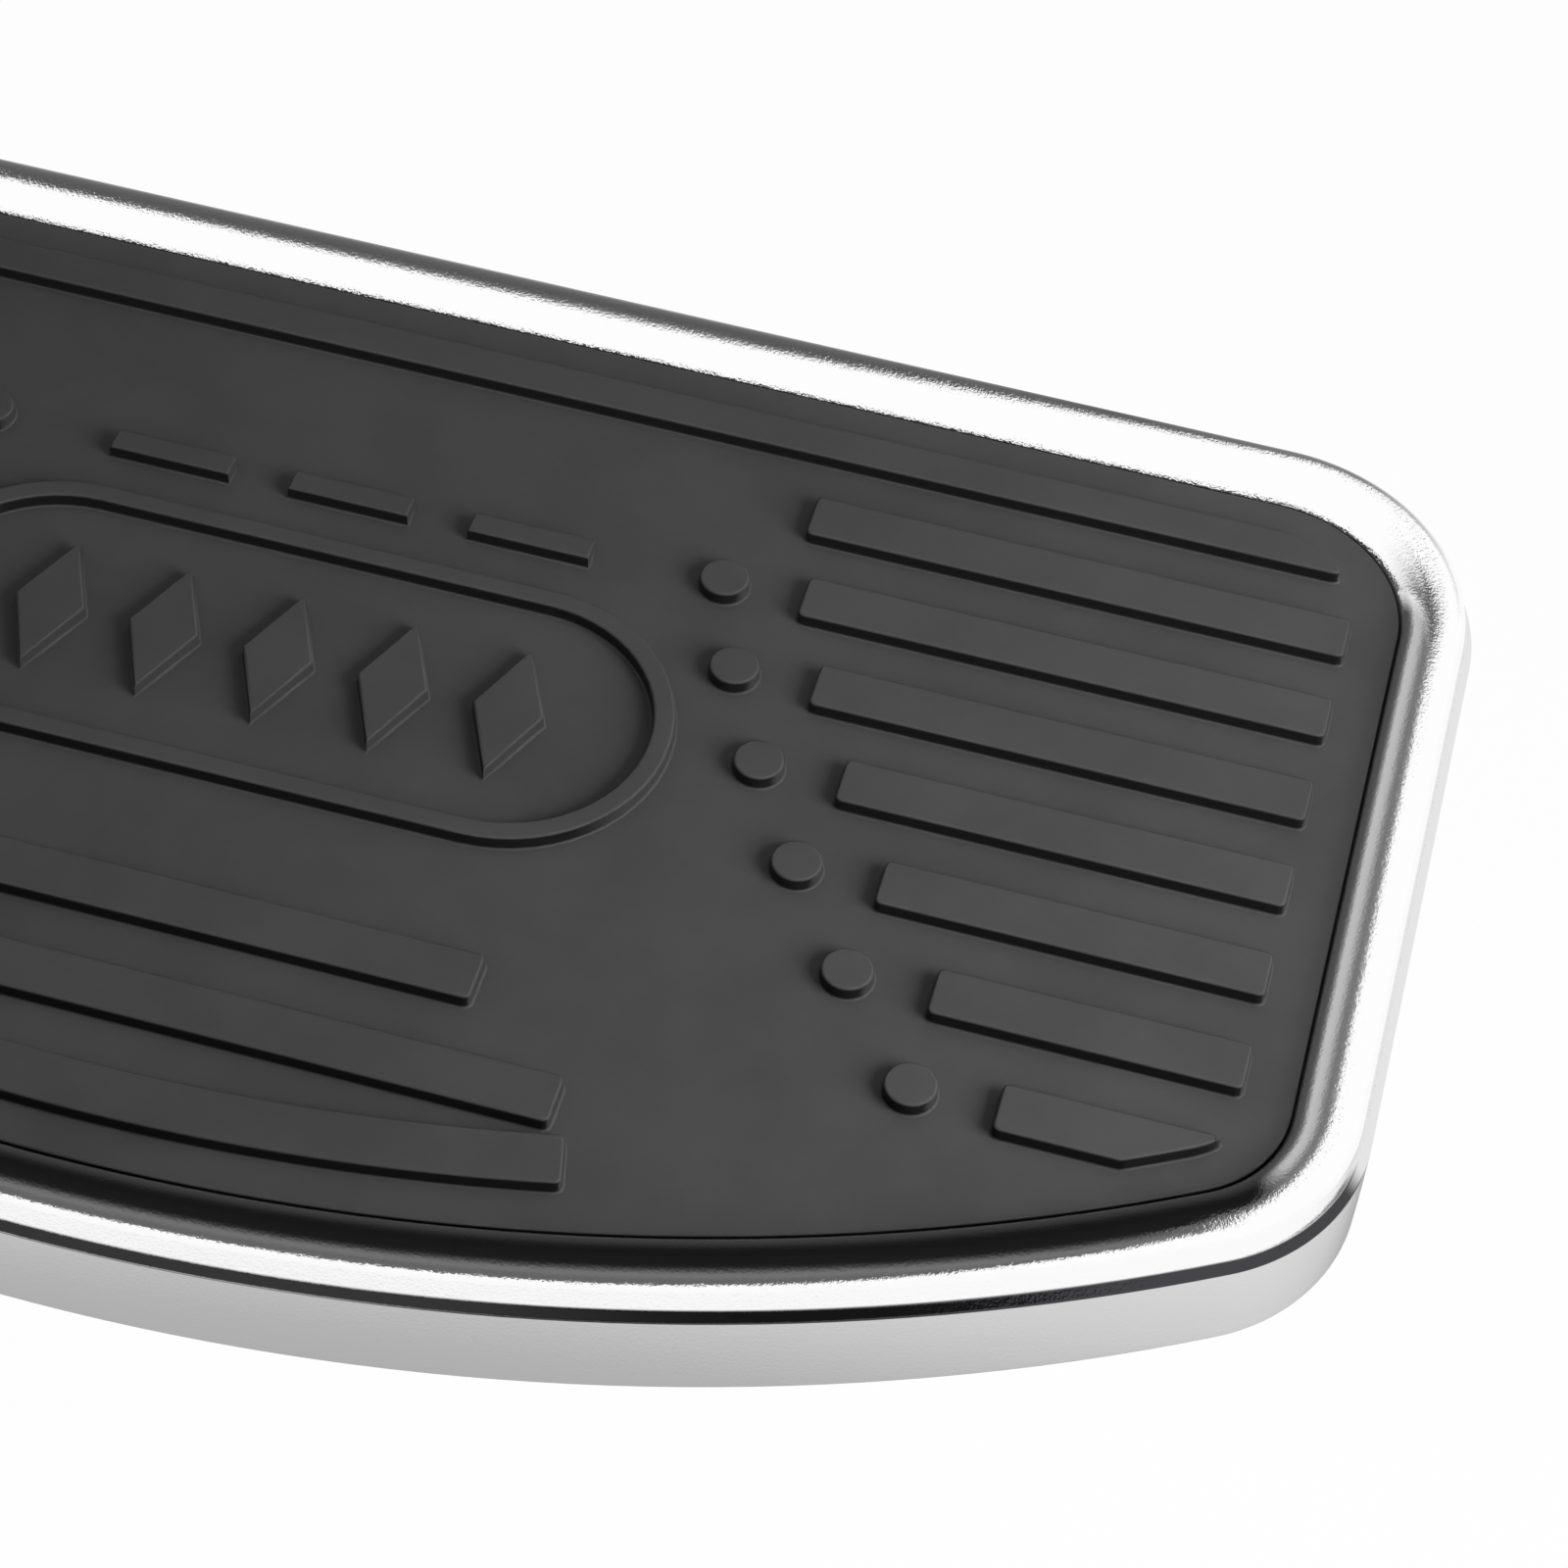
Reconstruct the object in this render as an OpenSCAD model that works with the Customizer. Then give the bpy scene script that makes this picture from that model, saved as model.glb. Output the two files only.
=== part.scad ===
// Folding passenger footboard of a motorcycle: a D-shaped cast tray with a rolled rim,
// a moulded rubber tread pad, and the hinge and bracket that carry it.
// Frame: +X along the motorcycle, +Y towards it, +Z up. The origin is the centre of
// the bracket's bolt pattern, on the face that meets the motorcycle.

/* [Board outline] */
// Length of the board along the motorcycle
board_len = 251; // [230:1:280]
// Depth of the board from its straight side to the lowest point of its curved side
board_depth = 142; // [130:1:160]
// Radius of the two corners at the straight side
far_corner_r = 25; // [20:1:32]
// Radius of the two corners at the curved side
near_corner_r = 22; // [19:1:28]
// Radius of the curved side
near_arc_r = 231; // [215:1:260]

/* [Rim and tray] */
// Height of the tray from the skirt's lower edge to the rim's crest
pan_h = 16.8; // [15:0.1:19]
// Width of the rim from the skirt's lower edge to the pad
rim_w = 8.9; // [8:0.1:10.5]
// Outer radius of the rolled rim
rim_outer_r = 2.4; // [1.8:0.1:3]
// Inner radius of the rolled rim
rim_inner_r = 5.7; // [5.2:0.1:6.4]
// How far the skirt stands out beyond the rolled rim's nose
skirt_out = 1.1; // [0.6:0.1:1.6]
// Depth of the rolled rim's nose above the ledge
nose_h = 4.5; // [3.8:0.1:5.2]
// Height of the sloping ledge between the nose and the skirt
ledge_h = 0.5; // [0.3:0.1:0.8]
// Thickness of the skirt
skirt_t = 3; // [2.4:0.1:3.6]
// Thickness of the tray's floor
floor_t = 3; // [2.4:0.1:3.4]
// Thickness of the ribs under the floor
rib_t = 2.6; // [2:0.1:4]
// Depth of the ribs under the floor
rib_h = 4.4; // [3:0.1:5]

/* [Tread pad] */
// Height of the rim's crest above the pad's plain surface
crest_above_pad = 2.8; // [2:0.1:3.4]
// Thickness of the pad without its bars
pad_t = 4.1; // [3.5:0.1:5]
// Gap between the pad's side and the tray
pad_gap = 0.1; // [0.05:0.05:0.3]
// Bevel along the pad's upper edge
pad_bevel = 0.6; // [0.3:0.1:1]
// Height of the raised bars
bar_h = 1.6; // [1:0.1:2]
// Width of a bar
bar_w = 6; // [4:0.1:7]
// Distance from one bar to the next
bar_pitch = 12.2; // [11:0.1:13]
// Distance from the tray's straight side to the near edge of the first bar
first_bar = 18.9; // [17:0.1:21]
// Plain margin between the bars' ends and the pad's edge
bar_margin = 5.2; // [4:0.1:8]
// Half width of the plain field in the middle, at the first row of bars
field_far_half = 50; // [46:1:56]
// Half width of the plain field in the middle, at the last row of bars
field_near_half = 88; // [80:1:92]
// Radius of a pad stud where it passes the tray's floor
stud_r = 3; // [2.5:0.1:3.5]

/* [Hinge] */
// Radius of the pivot pins
pin_r = 4; // [3.5:0.1:4.5]
// Distance from the hinge axis to the tray's straight side
pivot_inset = 12; // [11.5:0.1:13]
// Distance from the hinge axis up to the underside of the tray's floor
pivot_drop = 14; // [13.6:0.1:16]
// Radius of the bracket's ears round the axis
ear_r = 10.5; // [10:0.1:10.8]
// Thickness of an ear
ear_t = 12; // [10:0.5:14]
// Half of the gap between the two ears
ear_gap_half = 16; // [14:0.5:20]
// Thickness of a lug of the tray
lug_t = 9; // [7:0.5:11]
// Radius of the lugs round the axis
lug_r = 9.5; // [9:0.1:10.5]
// Wall of the pivot bushes
bush_wall = 1.5; // [1:0.1:2]
// Radial clearance of the pins in the bushes
pin_play = 0.05; // [0.02:0.01:0.1]

/* [Bracket] */
// Distance from the hinge axis to the face that meets the motorcycle
mount_reach = 30; // [29:0.5:40]
// Distance from the hinge axis down to the centre of the bolt pattern
mount_drop = 42; // [40:0.5:60]
// Width of the mounting plate
plate_w = 60; // [58:1:80]
// Thickness of the mounting plate
plate_t = 9; // [7:0.5:12]
// Distance between the two bolt holes
bolt_spacing = 38; // [34:0.5:40]
// Radius of the bolt holes
bolt_hole_r = 4.25; // [3.2:0.05:5.2]

/* [Down stops] */
// Distance from the hinge axis out to the stop screws
stop_reach = 26; // [23:0.5:30]
// Distance of each stop screw from the middle
stop_x = 20; // [14:0.5:21]
// Radius of the stop screws
stop_screw_r = 3; // [2.5:0.1:3.5]
// Thickness of the rubber bumpers
bumper_t = 4; // [3:0.1:5]
// Radius of the rubber bumpers
bumper_r = 6.5; // [5.5:0.1:7]

/* [Hidden] */
$fn = 48;

chrome = "#d8dce0";
steel = "#9ea3a8";
bronze = "#b08d57";
black_paint = "#26282b";
rubber = "#333436";

// How far joined shapes reach into each other, and how far a cut passes its faces
lap = 1;

// Heights in the board's own frame: 0 is the rim's crest, and the straight side is at y = 0.
half_len = board_len / 2;
pad_z = -crest_above_pad;
floor_top = pad_z - pad_t;
floor_under = floor_top - floor_t;
crest_u = -skirt_out - rim_outer_r;
skirt_in = crest_u - skirt_t / 2;
band_w = near_corner_r - rim_w - lap;

// Where the near arc meets the near corners. The angle and the corner's centre are rounded,
// and the arc's radius and centre take up what that leaves, so that the two meet exactly.
arc_cy = near_arc_r - board_depth;
corner_reach = near_arc_r - near_corner_r;
near_cx = half_len - near_corner_r;
arc_half_deg = round(asin(near_cx / corner_reach) * 1e4) / 1e4;
near_cy = round((arc_cy - corner_reach * cos(arc_half_deg)) * 1e3) / 1e3;
arc_stretch = near_cx / sin(arc_half_deg) - corner_reach;
arc_shift = near_cy + (corner_reach + arc_stretch) * cos(arc_half_deg) - arc_cy;
side_rows = 7;

// Places in the part's frame.
pivot_y = -mount_reach;
pivot_z = mount_drop;
crest_z = pivot_z + pivot_drop - floor_under;
board_y = pivot_y + pivot_inset;

// Stations along the hinge axis, from the middle outwards.
flange_t = 1;
washer_t = 1;
ring_t = 1;
seat_gap = 0.1;
ear_in = ear_gap_half;
ear_out = ear_in + ear_t;
washer_in = ear_out + flange_t;
lug_in = washer_in + washer_t + seat_gap;
lug_out = lug_in + lug_t;
thrust_in = ear_in - flange_t - washer_t;
ring_in = thrust_in - seat_gap - ring_t;
pin_end = ring_in - 2.5;
pin_head_t = 2.5;
pin_head_r = pin_r + 2.5;
groove_r = pin_r - 0.9;
bush_r = pin_r + pin_play + bush_wall;
flange_r = bush_r + 3;

// Ribs under the floor and places of the pad's studs, on one half of the board.
first_rib = pivot_inset + 15;
last_rib_inset = 32;
last_rib = board_depth - last_rib_inset;
rib_step = (last_rib - first_rib) / 3;
lug_rib = lug_in + lug_t / 2;
end_rib_inset = 29.5;
end_rib = half_len - end_rib_inset;
mid_rib = (lug_rib + end_rib) / 2;
stud_boss_r = stud_r + 2.5;
stud_places = [
    [half_len - 17.5, -first_rib - 1.5 * rib_step],
    [(mid_rib + end_rib) / 2, -first_rib - 0.5 * rib_step],
    [(mid_rib + end_rib) / 2, -first_rib - 2.5 * rib_step],
    [(lug_rib + mid_rib) / 2, -first_rib - 1.5 * rib_step],
    [lug_rib / 2, -first_rib - 1.5 * rib_step],
    [lug_rib / 2, -last_rib - 14],
];

// The bracket's side view, measured from the hinge axis.
leg_top = 12;
leg_low = 30;
ear_back = 7.5;
plate_r = 9;
plate_h = 2 * (mount_drop - leg_top);
gusset_t = 6;
gusset_low = mount_drop + plate_h / 2 - 10;
plate_face = mount_reach - plate_t;

// The down stops, measured from the hinge axis.
shelf_top = -3;
shelf_t = 9;
shelf_end = stop_reach + 7.5;
stop_face = 12;
stop_gap = 0.2;
screw_head_h = 4;
screw_head_r = 5.77;
nut_h = 3.2;
stop_boss_r = bumper_r + 0.5;
bumper_stem_r = 2.5;
bumper_stem_h = 5;

// Sweeps a section round the board's outline. The section's x is 0 on the outline
// and negative inwards, and its y is the height.
module along_outline() {
    far_run = board_len - 2 * far_corner_r;
    rotate([90, 0, 90]) linear_extrude(far_run, center = true) children();
    for (side = [0, 1]) mirror([side, 0, 0]) {
        translate([half_len - far_corner_r, -far_corner_r, 0])
            rotate_extrude(angle = 90) translate([far_corner_r, 0]) children();
        translate([half_len, -far_corner_r, 0])
            rotate([90, 0, 0]) linear_extrude(-far_corner_r - near_cy) children();
        translate([near_cx, near_cy, 0])
            rotate_extrude(angle = 90 - arc_half_deg, start = arc_half_deg - 90)
                translate([near_corner_r, 0]) children();
        translate([0, arc_cy, 0]) translate([0, arc_shift, 0])
            rotate_extrude(angle = arc_half_deg, start = -90)
                translate([near_arc_r, 0]) translate([arc_stretch, 0]) children();
    }
}

// The board's outline moved inwards, as a plain plate between two heights. Its edge is
// a swept band, and a polygon with its corners inside that band fills the middle.
module inset_plate(inset, low, high) {
    band = near_corner_r - inset - lap;
    in = inset + band / 2;
    steps = 10;
    r = near_arc_r - in;
    along_outline() translate([-inset - band, low]) square([band, high - low]);
    translate([0, 0, low]) linear_extrude(high - low) polygon([
        [near_cx, -in], [half_len - in, -far_corner_r], [half_len - in, near_cy],
        for (i = [steps : -1 : -steps]) let (a = arc_half_deg * i / steps)
            [r * sin(a), arc_cy - r * cos(a)],
        [in - half_len, near_cy], [in - half_len, -far_corner_r], [-near_cx, -in],
    ]);
}

// Points along a round stretch of an outline, one for every 11 degrees or so.
function arc(centre, r, from, to) =
    let (steps = ceil(abs(to - from) / 11.5))
    [for (i = [0 : steps]) let (a = from + (to - from) * i / steps) centre + r * [cos(a), sin(a)]];

// Section of the tray's edge: skirt, ledge, nose, rolled crest, shoulder and the outer
// strip of the floor.
module rim_section() {
    shoulder_w = rim_w + crest_u;
    polygon([
        [0, -pan_h], [0, -nose_h - ledge_h], [-skirt_out, -nose_h],
        each arc([crest_u, -rim_outer_r], rim_outer_r, 0, 90),
        each arc([crest_u, -rim_inner_r], rim_inner_r, 90, 90 + asin(shoulder_w / rim_inner_r)),
        [-rim_w, floor_top], [-rim_w - band_w, floor_top],
        [-rim_w - band_w, floor_under], [skirt_in - 1, floor_under],
        [skirt_in, floor_under - 1], [-skirt_t, -pan_h],
    ]);
}

module footboard_pan() {
    rib_z = floor_under - rib_h;
    axis_z = floor_under - pivot_drop;
    color(chrome) translate([0, board_y, crest_z]) difference() {
        union() {
            along_outline() rim_section();
            inset_plate(rim_w + lap, floor_under, floor_top);
            intersection() {
                inset_plate(skirt_t, rib_z, floor_under + lap / 10);
                translate([0, 0, rib_z]) union() {
                    for (y = [first_rib : rib_step : last_rib + lap])
                        translate([-half_len, -y - rib_t / 2, 0]) cube([board_len, rib_t, rib_h + lap]);
                    for (x = [lug_rib, mid_rib, end_rib], side = [-1, 1])
                        translate([side * x - rib_t / 2, -board_depth, 0])
                            cube([rib_t, board_depth - pivot_inset, rib_h + lap]);
                }
            }
            for (side = [0, 1]) mirror([side, 0, 0]) {
                translate([lug_in, -pivot_inset, axis_z]) rotate([90, 0, 90])
                    linear_extrude(lug_t) lug_outline();
                translate([stop_x, -pivot_inset - stop_reach, axis_z + stop_face])
                    cylinder(h = pivot_drop - stop_face + lap, r = stop_boss_r);
                for (p = stud_places) translate([p[0], p[1], floor_under - lap])
                    cylinder(h = 2 * lap, r = stud_boss_r);
            }
        }
        for (side = [0, 1]) mirror([side, 0, 0]) {
            translate([lug_in - lap, -pivot_inset, axis_z]) rotate([0, 90, 0])
                cylinder(h = lug_t + 2 * lap, r = pin_r + pin_play);
            translate([stop_x, -pivot_inset - stop_reach, axis_z])
                cylinder(h = stop_face + bumper_stem_h, r = bumper_stem_r + pin_play);
            for (p = stud_places) translate([p[0], p[1], floor_under - 2 * lap])
                cylinder(h = floor_t + 3 * lap, r = stud_r + pad_gap);
        }
    }
}

// Side view of a lug: round at the hinge axis and wide where it grows out of the floor.
module lug_outline() {
    heel = lug_r + 9;
    circle(lug_r);
    polygon([
        [-lug_r, 0], [lug_r, 0], [lug_r, pivot_drop + lap],
        [-heel, pivot_drop + lap], [-heel, pivot_drop - 2],
    ]);
}

// The near edge of a row of bars, and where the row's bars end at the plain field.
function row_y(row) = -first_bar - row * bar_pitch;
function field_at(row) =
    field_far_half + (field_near_half - field_far_half) * pow((row - 1) / (side_rows - 1), 1.6);

module tread_pad() {
    color(rubber) translate([0, board_y, crest_z]) {
        pad_body();
        intersection() {
            inset_plate(rim_w + bar_margin, pad_z - lap / 2, pad_z + bar_h);
            translate([0, 0, pad_z - lap]) union() {
                translate([-half_len, -first_bar, 0]) cube([board_len, first_bar, bar_h + 2 * lap]);
                for (row = [1 : side_rows], side = [0, 1]) mirror([side, 0, 0])
                    translate([field_at(row), row_y(row), 0]) cube([half_len, bar_w, bar_h + 2 * lap]);
            }
        }
        translate([0, 0, pad_z - lap / 2]) centre_design(bar_h + lap / 2);
    }
}

// The pad's plate with its bevelled upper edge, and the studs that snap through the floor.
module pad_body() {
    side = rim_w + pad_gap;
    along_outline() polygon([
        [-side, floor_top], [-side, pad_z - pad_bevel], [-side - pad_bevel, pad_z],
        [-side - band_w, pad_z], [-side - band_w, floor_top],
    ]);
    inset_plate(side + 2 * lap, floor_top, pad_z);
    for (p = stud_places, way = [-1, 1]) translate([way * p[0], p[1], floor_under]) {
        translate([0, 0, -1.5 * lap]) cylinder(h = floor_t + 2 * lap, r = stud_r);
        translate([0, 0, -4]) cylinder(h = 2.9, r1 = stud_r - 1, r2 = stud_r + 1);
    }
}

// The middle of the tread: a long ring with lozenges in it, dashes on its far side, round
// studs along the bars' ends, and three bars on its near side, the last one curved.
module centre_design(h) {
    ring_y = 5 - board_depth / 2;
    ring_half = 26;
    ring_r = 18;
    line_w = 2.4;
    lozenge_w = 8;
    lozenge_h = 18;
    dash_len = 14;
    dash_w = 3;
    dot_r = 2.8;
    dot_gap = 9;
    curved_r = near_arc_r - rim_w - 4.4;
    curved_half_deg = 13;
    for (side = [0, 1]) mirror([side, 0, 0]) translate([ring_half, ring_y, 0])
        rotate_extrude(angle = 180, start = -90) translate([ring_r - line_w, 0]) square([line_w, h]);
    for (y = [ring_y - ring_r, ring_y + ring_r - line_w]) translate([-ring_half, y, 0])
        cube([2 * ring_half, line_w, h]);
    for (k = [-2 : 2]) translate([k * ring_half / 2, ring_y, 0]) linear_extrude(h)
        polygon([[lozenge_w / 2, 0], [0, lozenge_h / 2], [-lozenge_w / 2, 0], [0, -lozenge_h / 2]]);
    for (k = [-1 : 1]) translate([k * 1.5 * dash_len - dash_len / 2, row_y(2) + lap, 0])
        cube([dash_len, dash_w, h]);
    for (row = [2 : side_rows], side = [-1, 1])
        translate([side * (field_at(row) - dot_gap), row_y(row) + bar_w / 2, 0]) cylinder(h = h, r = dot_r);
    for (bar = [[side_rows, 33.6], [side_rows + 1, 45.6]]) translate([-bar[1], row_y(bar[0]), 0])
        cube([2 * bar[1], bar_w, h]);
    translate([0, arc_cy, 0]) rotate_extrude(angle = 2 * curved_half_deg, start = -90 - curved_half_deg)
        translate([curved_r - bar_w, 0]) square([bar_w, h]);
}

// Everything below is placed from the hinge axis.
module at_pivot() {
    translate([0, pivot_y, pivot_z]) children();
}

// Turns a piece made along +Z so that it lies along +X from a station on the hinge axis.
module along_axis(station) {
    at_pivot() translate([station, 0, 0]) rotate([90, 0, 90]) children();
}

module bolt_holes() {
    for (z = [-bolt_spacing / 2, bolt_spacing / 2]) translate([0, lap, z]) rotate([90, 0, 0])
        cylinder(h = plate_t + 2 * lap, r = bolt_hole_r);
}

module mount_bracket() {
    color(black_paint) difference() {
        union() {
            rotate([90, 0, 0]) linear_extrude(plate_t) plate_outline(plate_w, plate_h, plate_r);
            for (side = [0, 1]) mirror([side, 0, 0]) {
                along_axis(ear_in) linear_extrude(ear_t) ear_outline();
                along_axis(ear_in + (ear_t - gusset_t) / 2) linear_extrude(gusset_t) polygon([
                    [-6, lap - leg_low], [plate_face + lap, lap - leg_low], [plate_face + lap, -gusset_low],
                ]);
            }
            at_pivot() translate([-ear_out, -shelf_end, shelf_top - shelf_t])
                cube([2 * ear_out, shelf_end - 9, shelf_t]);
        }
        bolt_holes();
        at_pivot() rotate([0, 90, 0]) cylinder(h = 4 * ear_out, r = bush_r, center = true);
        for (x = [-stop_x, stop_x]) at_pivot() translate([x, -stop_reach, -leg_low])
            cylinder(h = leg_low + shelf_top + lap, r = stop_screw_r + pin_play);
    }
}

module plate_outline(w, h, r) {
    square([w - 2 * r, h], center = true);
    square([w, h - 2 * r], center = true);
    for (x = [r - w / 2, w / 2 - r], y = [r - h / 2, h / 2 - r]) translate([x, y]) circle(r);
}

// Side view of an ear with its arm to the stop shelf and its leg to the plate.
module ear_outline() {
    circle(ear_r);
    polygon([
        [-ear_r, 0], [-ear_r, shelf_top], [-shelf_end, shelf_top], [-shelf_end, shelf_top - shelf_t],
        [-ear_r - 2, -leg_low], [plate_face + lap, -leg_low], [plate_face + lap, -leg_top],
        [ear_back, -leg_top], [ear_back, 0],
    ]);
}

// A headed pin with a groove for its retaining ring.
module pivot_pin() {
    color(steel) along_axis(0) difference() {
        union() {
            translate([0, 0, pin_end]) cylinder(h = lug_out + seat_gap + lap - pin_end, r = pin_r);
            translate([0, 0, lug_out + seat_gap]) cylinder(h = pin_head_t, r = pin_head_r);
        }
        translate([0, 0, ring_in - seat_gap / 2]) difference() {
            cylinder(h = ring_t + seat_gap, r = pin_r + lap);
            translate([0, 0, -lap]) cylinder(h = ring_t + 3 * lap, r = groove_r);
        }
    }
}

module flanged_bush(flange_station, sleeve_station, sleeve_len) {
    color(bronze) difference() {
        union() {
            along_axis(flange_station) cylinder(h = flange_t, r = flange_r);
            along_axis(sleeve_station) cylinder(h = sleeve_len, r = bush_r - 0.02);
        }
        along_axis(sleeve_station - 3 * lap) cylinder(h = sleeve_len + 6 * lap, r = pin_r + pin_play);
    }
}

module outer_bush() {
    flanged_bush(ear_out, ear_out - ear_t / 2 + lap / 2, ear_t / 2);
}

module inner_bush() {
    flanged_bush(ear_in - flange_t, ear_in - lap / 2, ear_t / 2);
}

// A dished spring washer: its inner edge bears on the bush and its outer edge on the lug.
module spring_washer() {
    sheet_t = washer_t / 2;
    color(steel) along_axis(washer_in) rotate_extrude() polygon([
        [pin_r + 0.3, 0], [flange_r, washer_t - sheet_t], [flange_r, washer_t], [pin_r + 0.3, sheet_t],
    ]);
}

module thrust_washer() {
    color(steel) along_axis(thrust_in) difference() {
        cylinder(h = washer_t, r = flange_r);
        translate([0, 0, -lap]) cylinder(h = washer_t + 2 * lap, r = pin_r + 0.2);
    }
}

// A spring retaining ring: open on one side, with three prongs that sit in the pin's groove.
module retaining_ring() {
    prong_w = 2.8;
    mouth_w = 6.4;
    color(steel) along_axis(ring_in) linear_extrude(ring_t) difference() {
        circle(pin_r + 3.2);
        difference() {
            circle(pin_r + 0.9);
            for (a = [0, 120, 240]) rotate([0, 0, a]) translate([0, -prong_w / 2])
                square([pin_r + 2 * lap, prong_w]);
        }
        circle(groove_r + 0.05);
        rotate([0, 0, 60]) translate([0, -mouth_w / 2]) square([pin_r + 5 * lap, mouth_w]);
    }
}

module stop_bumper() {
    color(rubber) at_pivot() translate([stop_x, -stop_reach, stop_face]) {
        translate([0, 0, -bumper_t]) cylinder(h = bumper_t, r = bumper_r);
        translate([0, 0, -lap]) cylinder(h = bumper_stem_h, r = bumper_stem_r);
    }
}

module stop_screw() {
    head_z = stop_face - bumper_t - stop_gap - screw_head_h;
    tail_z = shelf_top - shelf_t - 3;
    color(steel) at_pivot() translate([stop_x, -stop_reach, 0]) {
        translate([0, 0, head_z]) cylinder(h = screw_head_h, r = screw_head_r, $fn = 6);
        translate([0, 0, tail_z]) cylinder(h = head_z + lap - tail_z, r = stop_screw_r);
    }
}

module jam_nut() {
    color(steel) at_pivot() translate([stop_x, -stop_reach, shelf_top]) difference() {
        cylinder(h = nut_h, r = screw_head_r, $fn = 6);
        translate([0, 0, -lap]) cylinder(h = nut_h + 2 * lap, r = stop_screw_r + pin_play);
    }
}

// The left-hand pieces are the right-hand ones mirrored across the middle.
module left() {
    mirror([1, 0, 0]) children();
}

footboard_pan();
tread_pad();
mount_bracket();
left() pivot_pin();  // pivot_pin_left
pivot_pin();  // pivot_pin_right
left() outer_bush();  // outer_bush_left
outer_bush();  // outer_bush_right
left() inner_bush();  // inner_bush_left
inner_bush();  // inner_bush_right
left() spring_washer();  // spring_washer_left
spring_washer();  // spring_washer_right
left() thrust_washer();  // thrust_washer_left
thrust_washer();  // thrust_washer_right
left() retaining_ring();  // retaining_ring_left
retaining_ring();  // retaining_ring_right
left() stop_bumper();  // stop_bumper_left
stop_bumper();  // stop_bumper_right
left() stop_screw();  // stop_screw_left
stop_screw();  // stop_screw_right
left() jam_nut();  // jam_nut_left
jam_nut();  // jam_nut_right
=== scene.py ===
# A folding passenger footboard of a motorcycle: a chromed cast tray with a rolled rim round
# a black rubber tread pad, hinged to a black steel bracket. Lengths are in millimetres.
import math

import bmesh
import bpy
from mathutils import Euler, Matrix, Vector
from mathutils.geometry import tessellate_polygon


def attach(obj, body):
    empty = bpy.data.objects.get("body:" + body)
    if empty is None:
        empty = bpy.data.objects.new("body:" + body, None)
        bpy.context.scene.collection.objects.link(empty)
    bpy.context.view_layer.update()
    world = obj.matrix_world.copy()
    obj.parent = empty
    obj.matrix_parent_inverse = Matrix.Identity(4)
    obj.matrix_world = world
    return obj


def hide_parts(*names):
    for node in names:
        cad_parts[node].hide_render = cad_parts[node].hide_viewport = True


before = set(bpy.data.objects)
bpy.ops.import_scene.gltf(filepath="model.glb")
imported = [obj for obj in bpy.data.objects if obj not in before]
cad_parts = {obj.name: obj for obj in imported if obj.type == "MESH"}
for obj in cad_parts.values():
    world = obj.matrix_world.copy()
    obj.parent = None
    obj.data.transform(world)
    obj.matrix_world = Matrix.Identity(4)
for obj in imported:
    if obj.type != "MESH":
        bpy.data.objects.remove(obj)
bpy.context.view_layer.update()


# Camera
# It looks down on the board from its near right, close enough to crop the left-hand part. Its
# place and turn follow from where the corners of the bars lie in the picture.
MM = 0.001
PHOTO_SIDE = 1600
FOCAL_PIXELS = 4209.0
SENSOR_WIDTH = 36.0
CAMERA_AT = (107.63, -361.79, 400.85)
CAMERA_TURN = (39.777, -3.505, 14.582)

camera = bpy.data.objects.new("camera", bpy.data.cameras.new("camera"))
bpy.context.collection.objects.link(camera)
camera.data.sensor_width = SENSOR_WIDTH
camera.data.lens = FOCAL_PIXELS / PHOTO_SIDE * SENSOR_WIDTH
camera.data.clip_start = 10 * MM
camera.location = Vector(CAMERA_AT) * MM
camera.rotation_euler = Euler([math.radians(a) for a in CAMERA_TURN])
bpy.context.scene.camera = camera
bpy.context.scene.view_settings.view_transform = "Standard"


# Chrome tray
# One aluminium casting, polished and chromed: a D-shaped floor and a rolled rim with a
# skirt under it. Heights are measured from the rim's crest, y from the straight side.
BOARD_LEN = 251.0
BOARD_DEPTH = 142.0
FAR_CORNER_R = 25.0
NEAR_CORNER_R = 22.0
NEAR_ARC_R = 231.0
BOARD_Y = -18.0
CREST_Z = 65.9
PAN_H = 16.8
RIM_W = 8.9
RIM_OUTER_R = 2.4
RIM_INNER_R = 5.7
NOSE_R = 2.05
SKIRT_OUT = 1.1
NOSE_H = 4.5
LEDGE_H = 0.5
SKIRT_T = 3.0
SKIRT_SWELL = 0.0012
FLOOR_TOP = -6.9
FLOOR_UNDER = -9.9
PROFILE_IN = -20.0
WALL_MID = -4.5
LEDGE_UP = 0.15
LEDGE_DOWN = 0.12
FLOOR_FILLET_R = 0.8
NOSE_FOOT_R = 0.55
LEDGE_EDGE_R = 0.3
SKIRT_FOOT_R = 0.35
SKIRT_INNER_R = 0.7
UNDER_FILLET_R = 1.6
STRAIGHT_STEPS = 8
SIDE_STEPS = 6
CORNER_STEP = 2.5
NEAR_ARC_STEP = 0.9
HALF_LEN = BOARD_LEN / 2
CREST_U = -SKIRT_OUT - RIM_OUTER_R
ARC_CY = NEAR_ARC_R - BOARD_DEPTH
NEAR_CX = HALF_LEN - NEAR_CORNER_R
CORNER_REACH = NEAR_ARC_R - NEAR_CORNER_R
NEAR_CY = ARC_CY - math.sqrt(CORNER_REACH**2 - NEAR_CX**2)


def circle_points(cx, cy, r, start, stop, steps):
    angles = [math.radians(start + (stop - start) * i / steps) for i in range(steps + 1)]
    return [Vector((cx + r * math.cos(a), cy + r * math.sin(a))) for a in angles]


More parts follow.
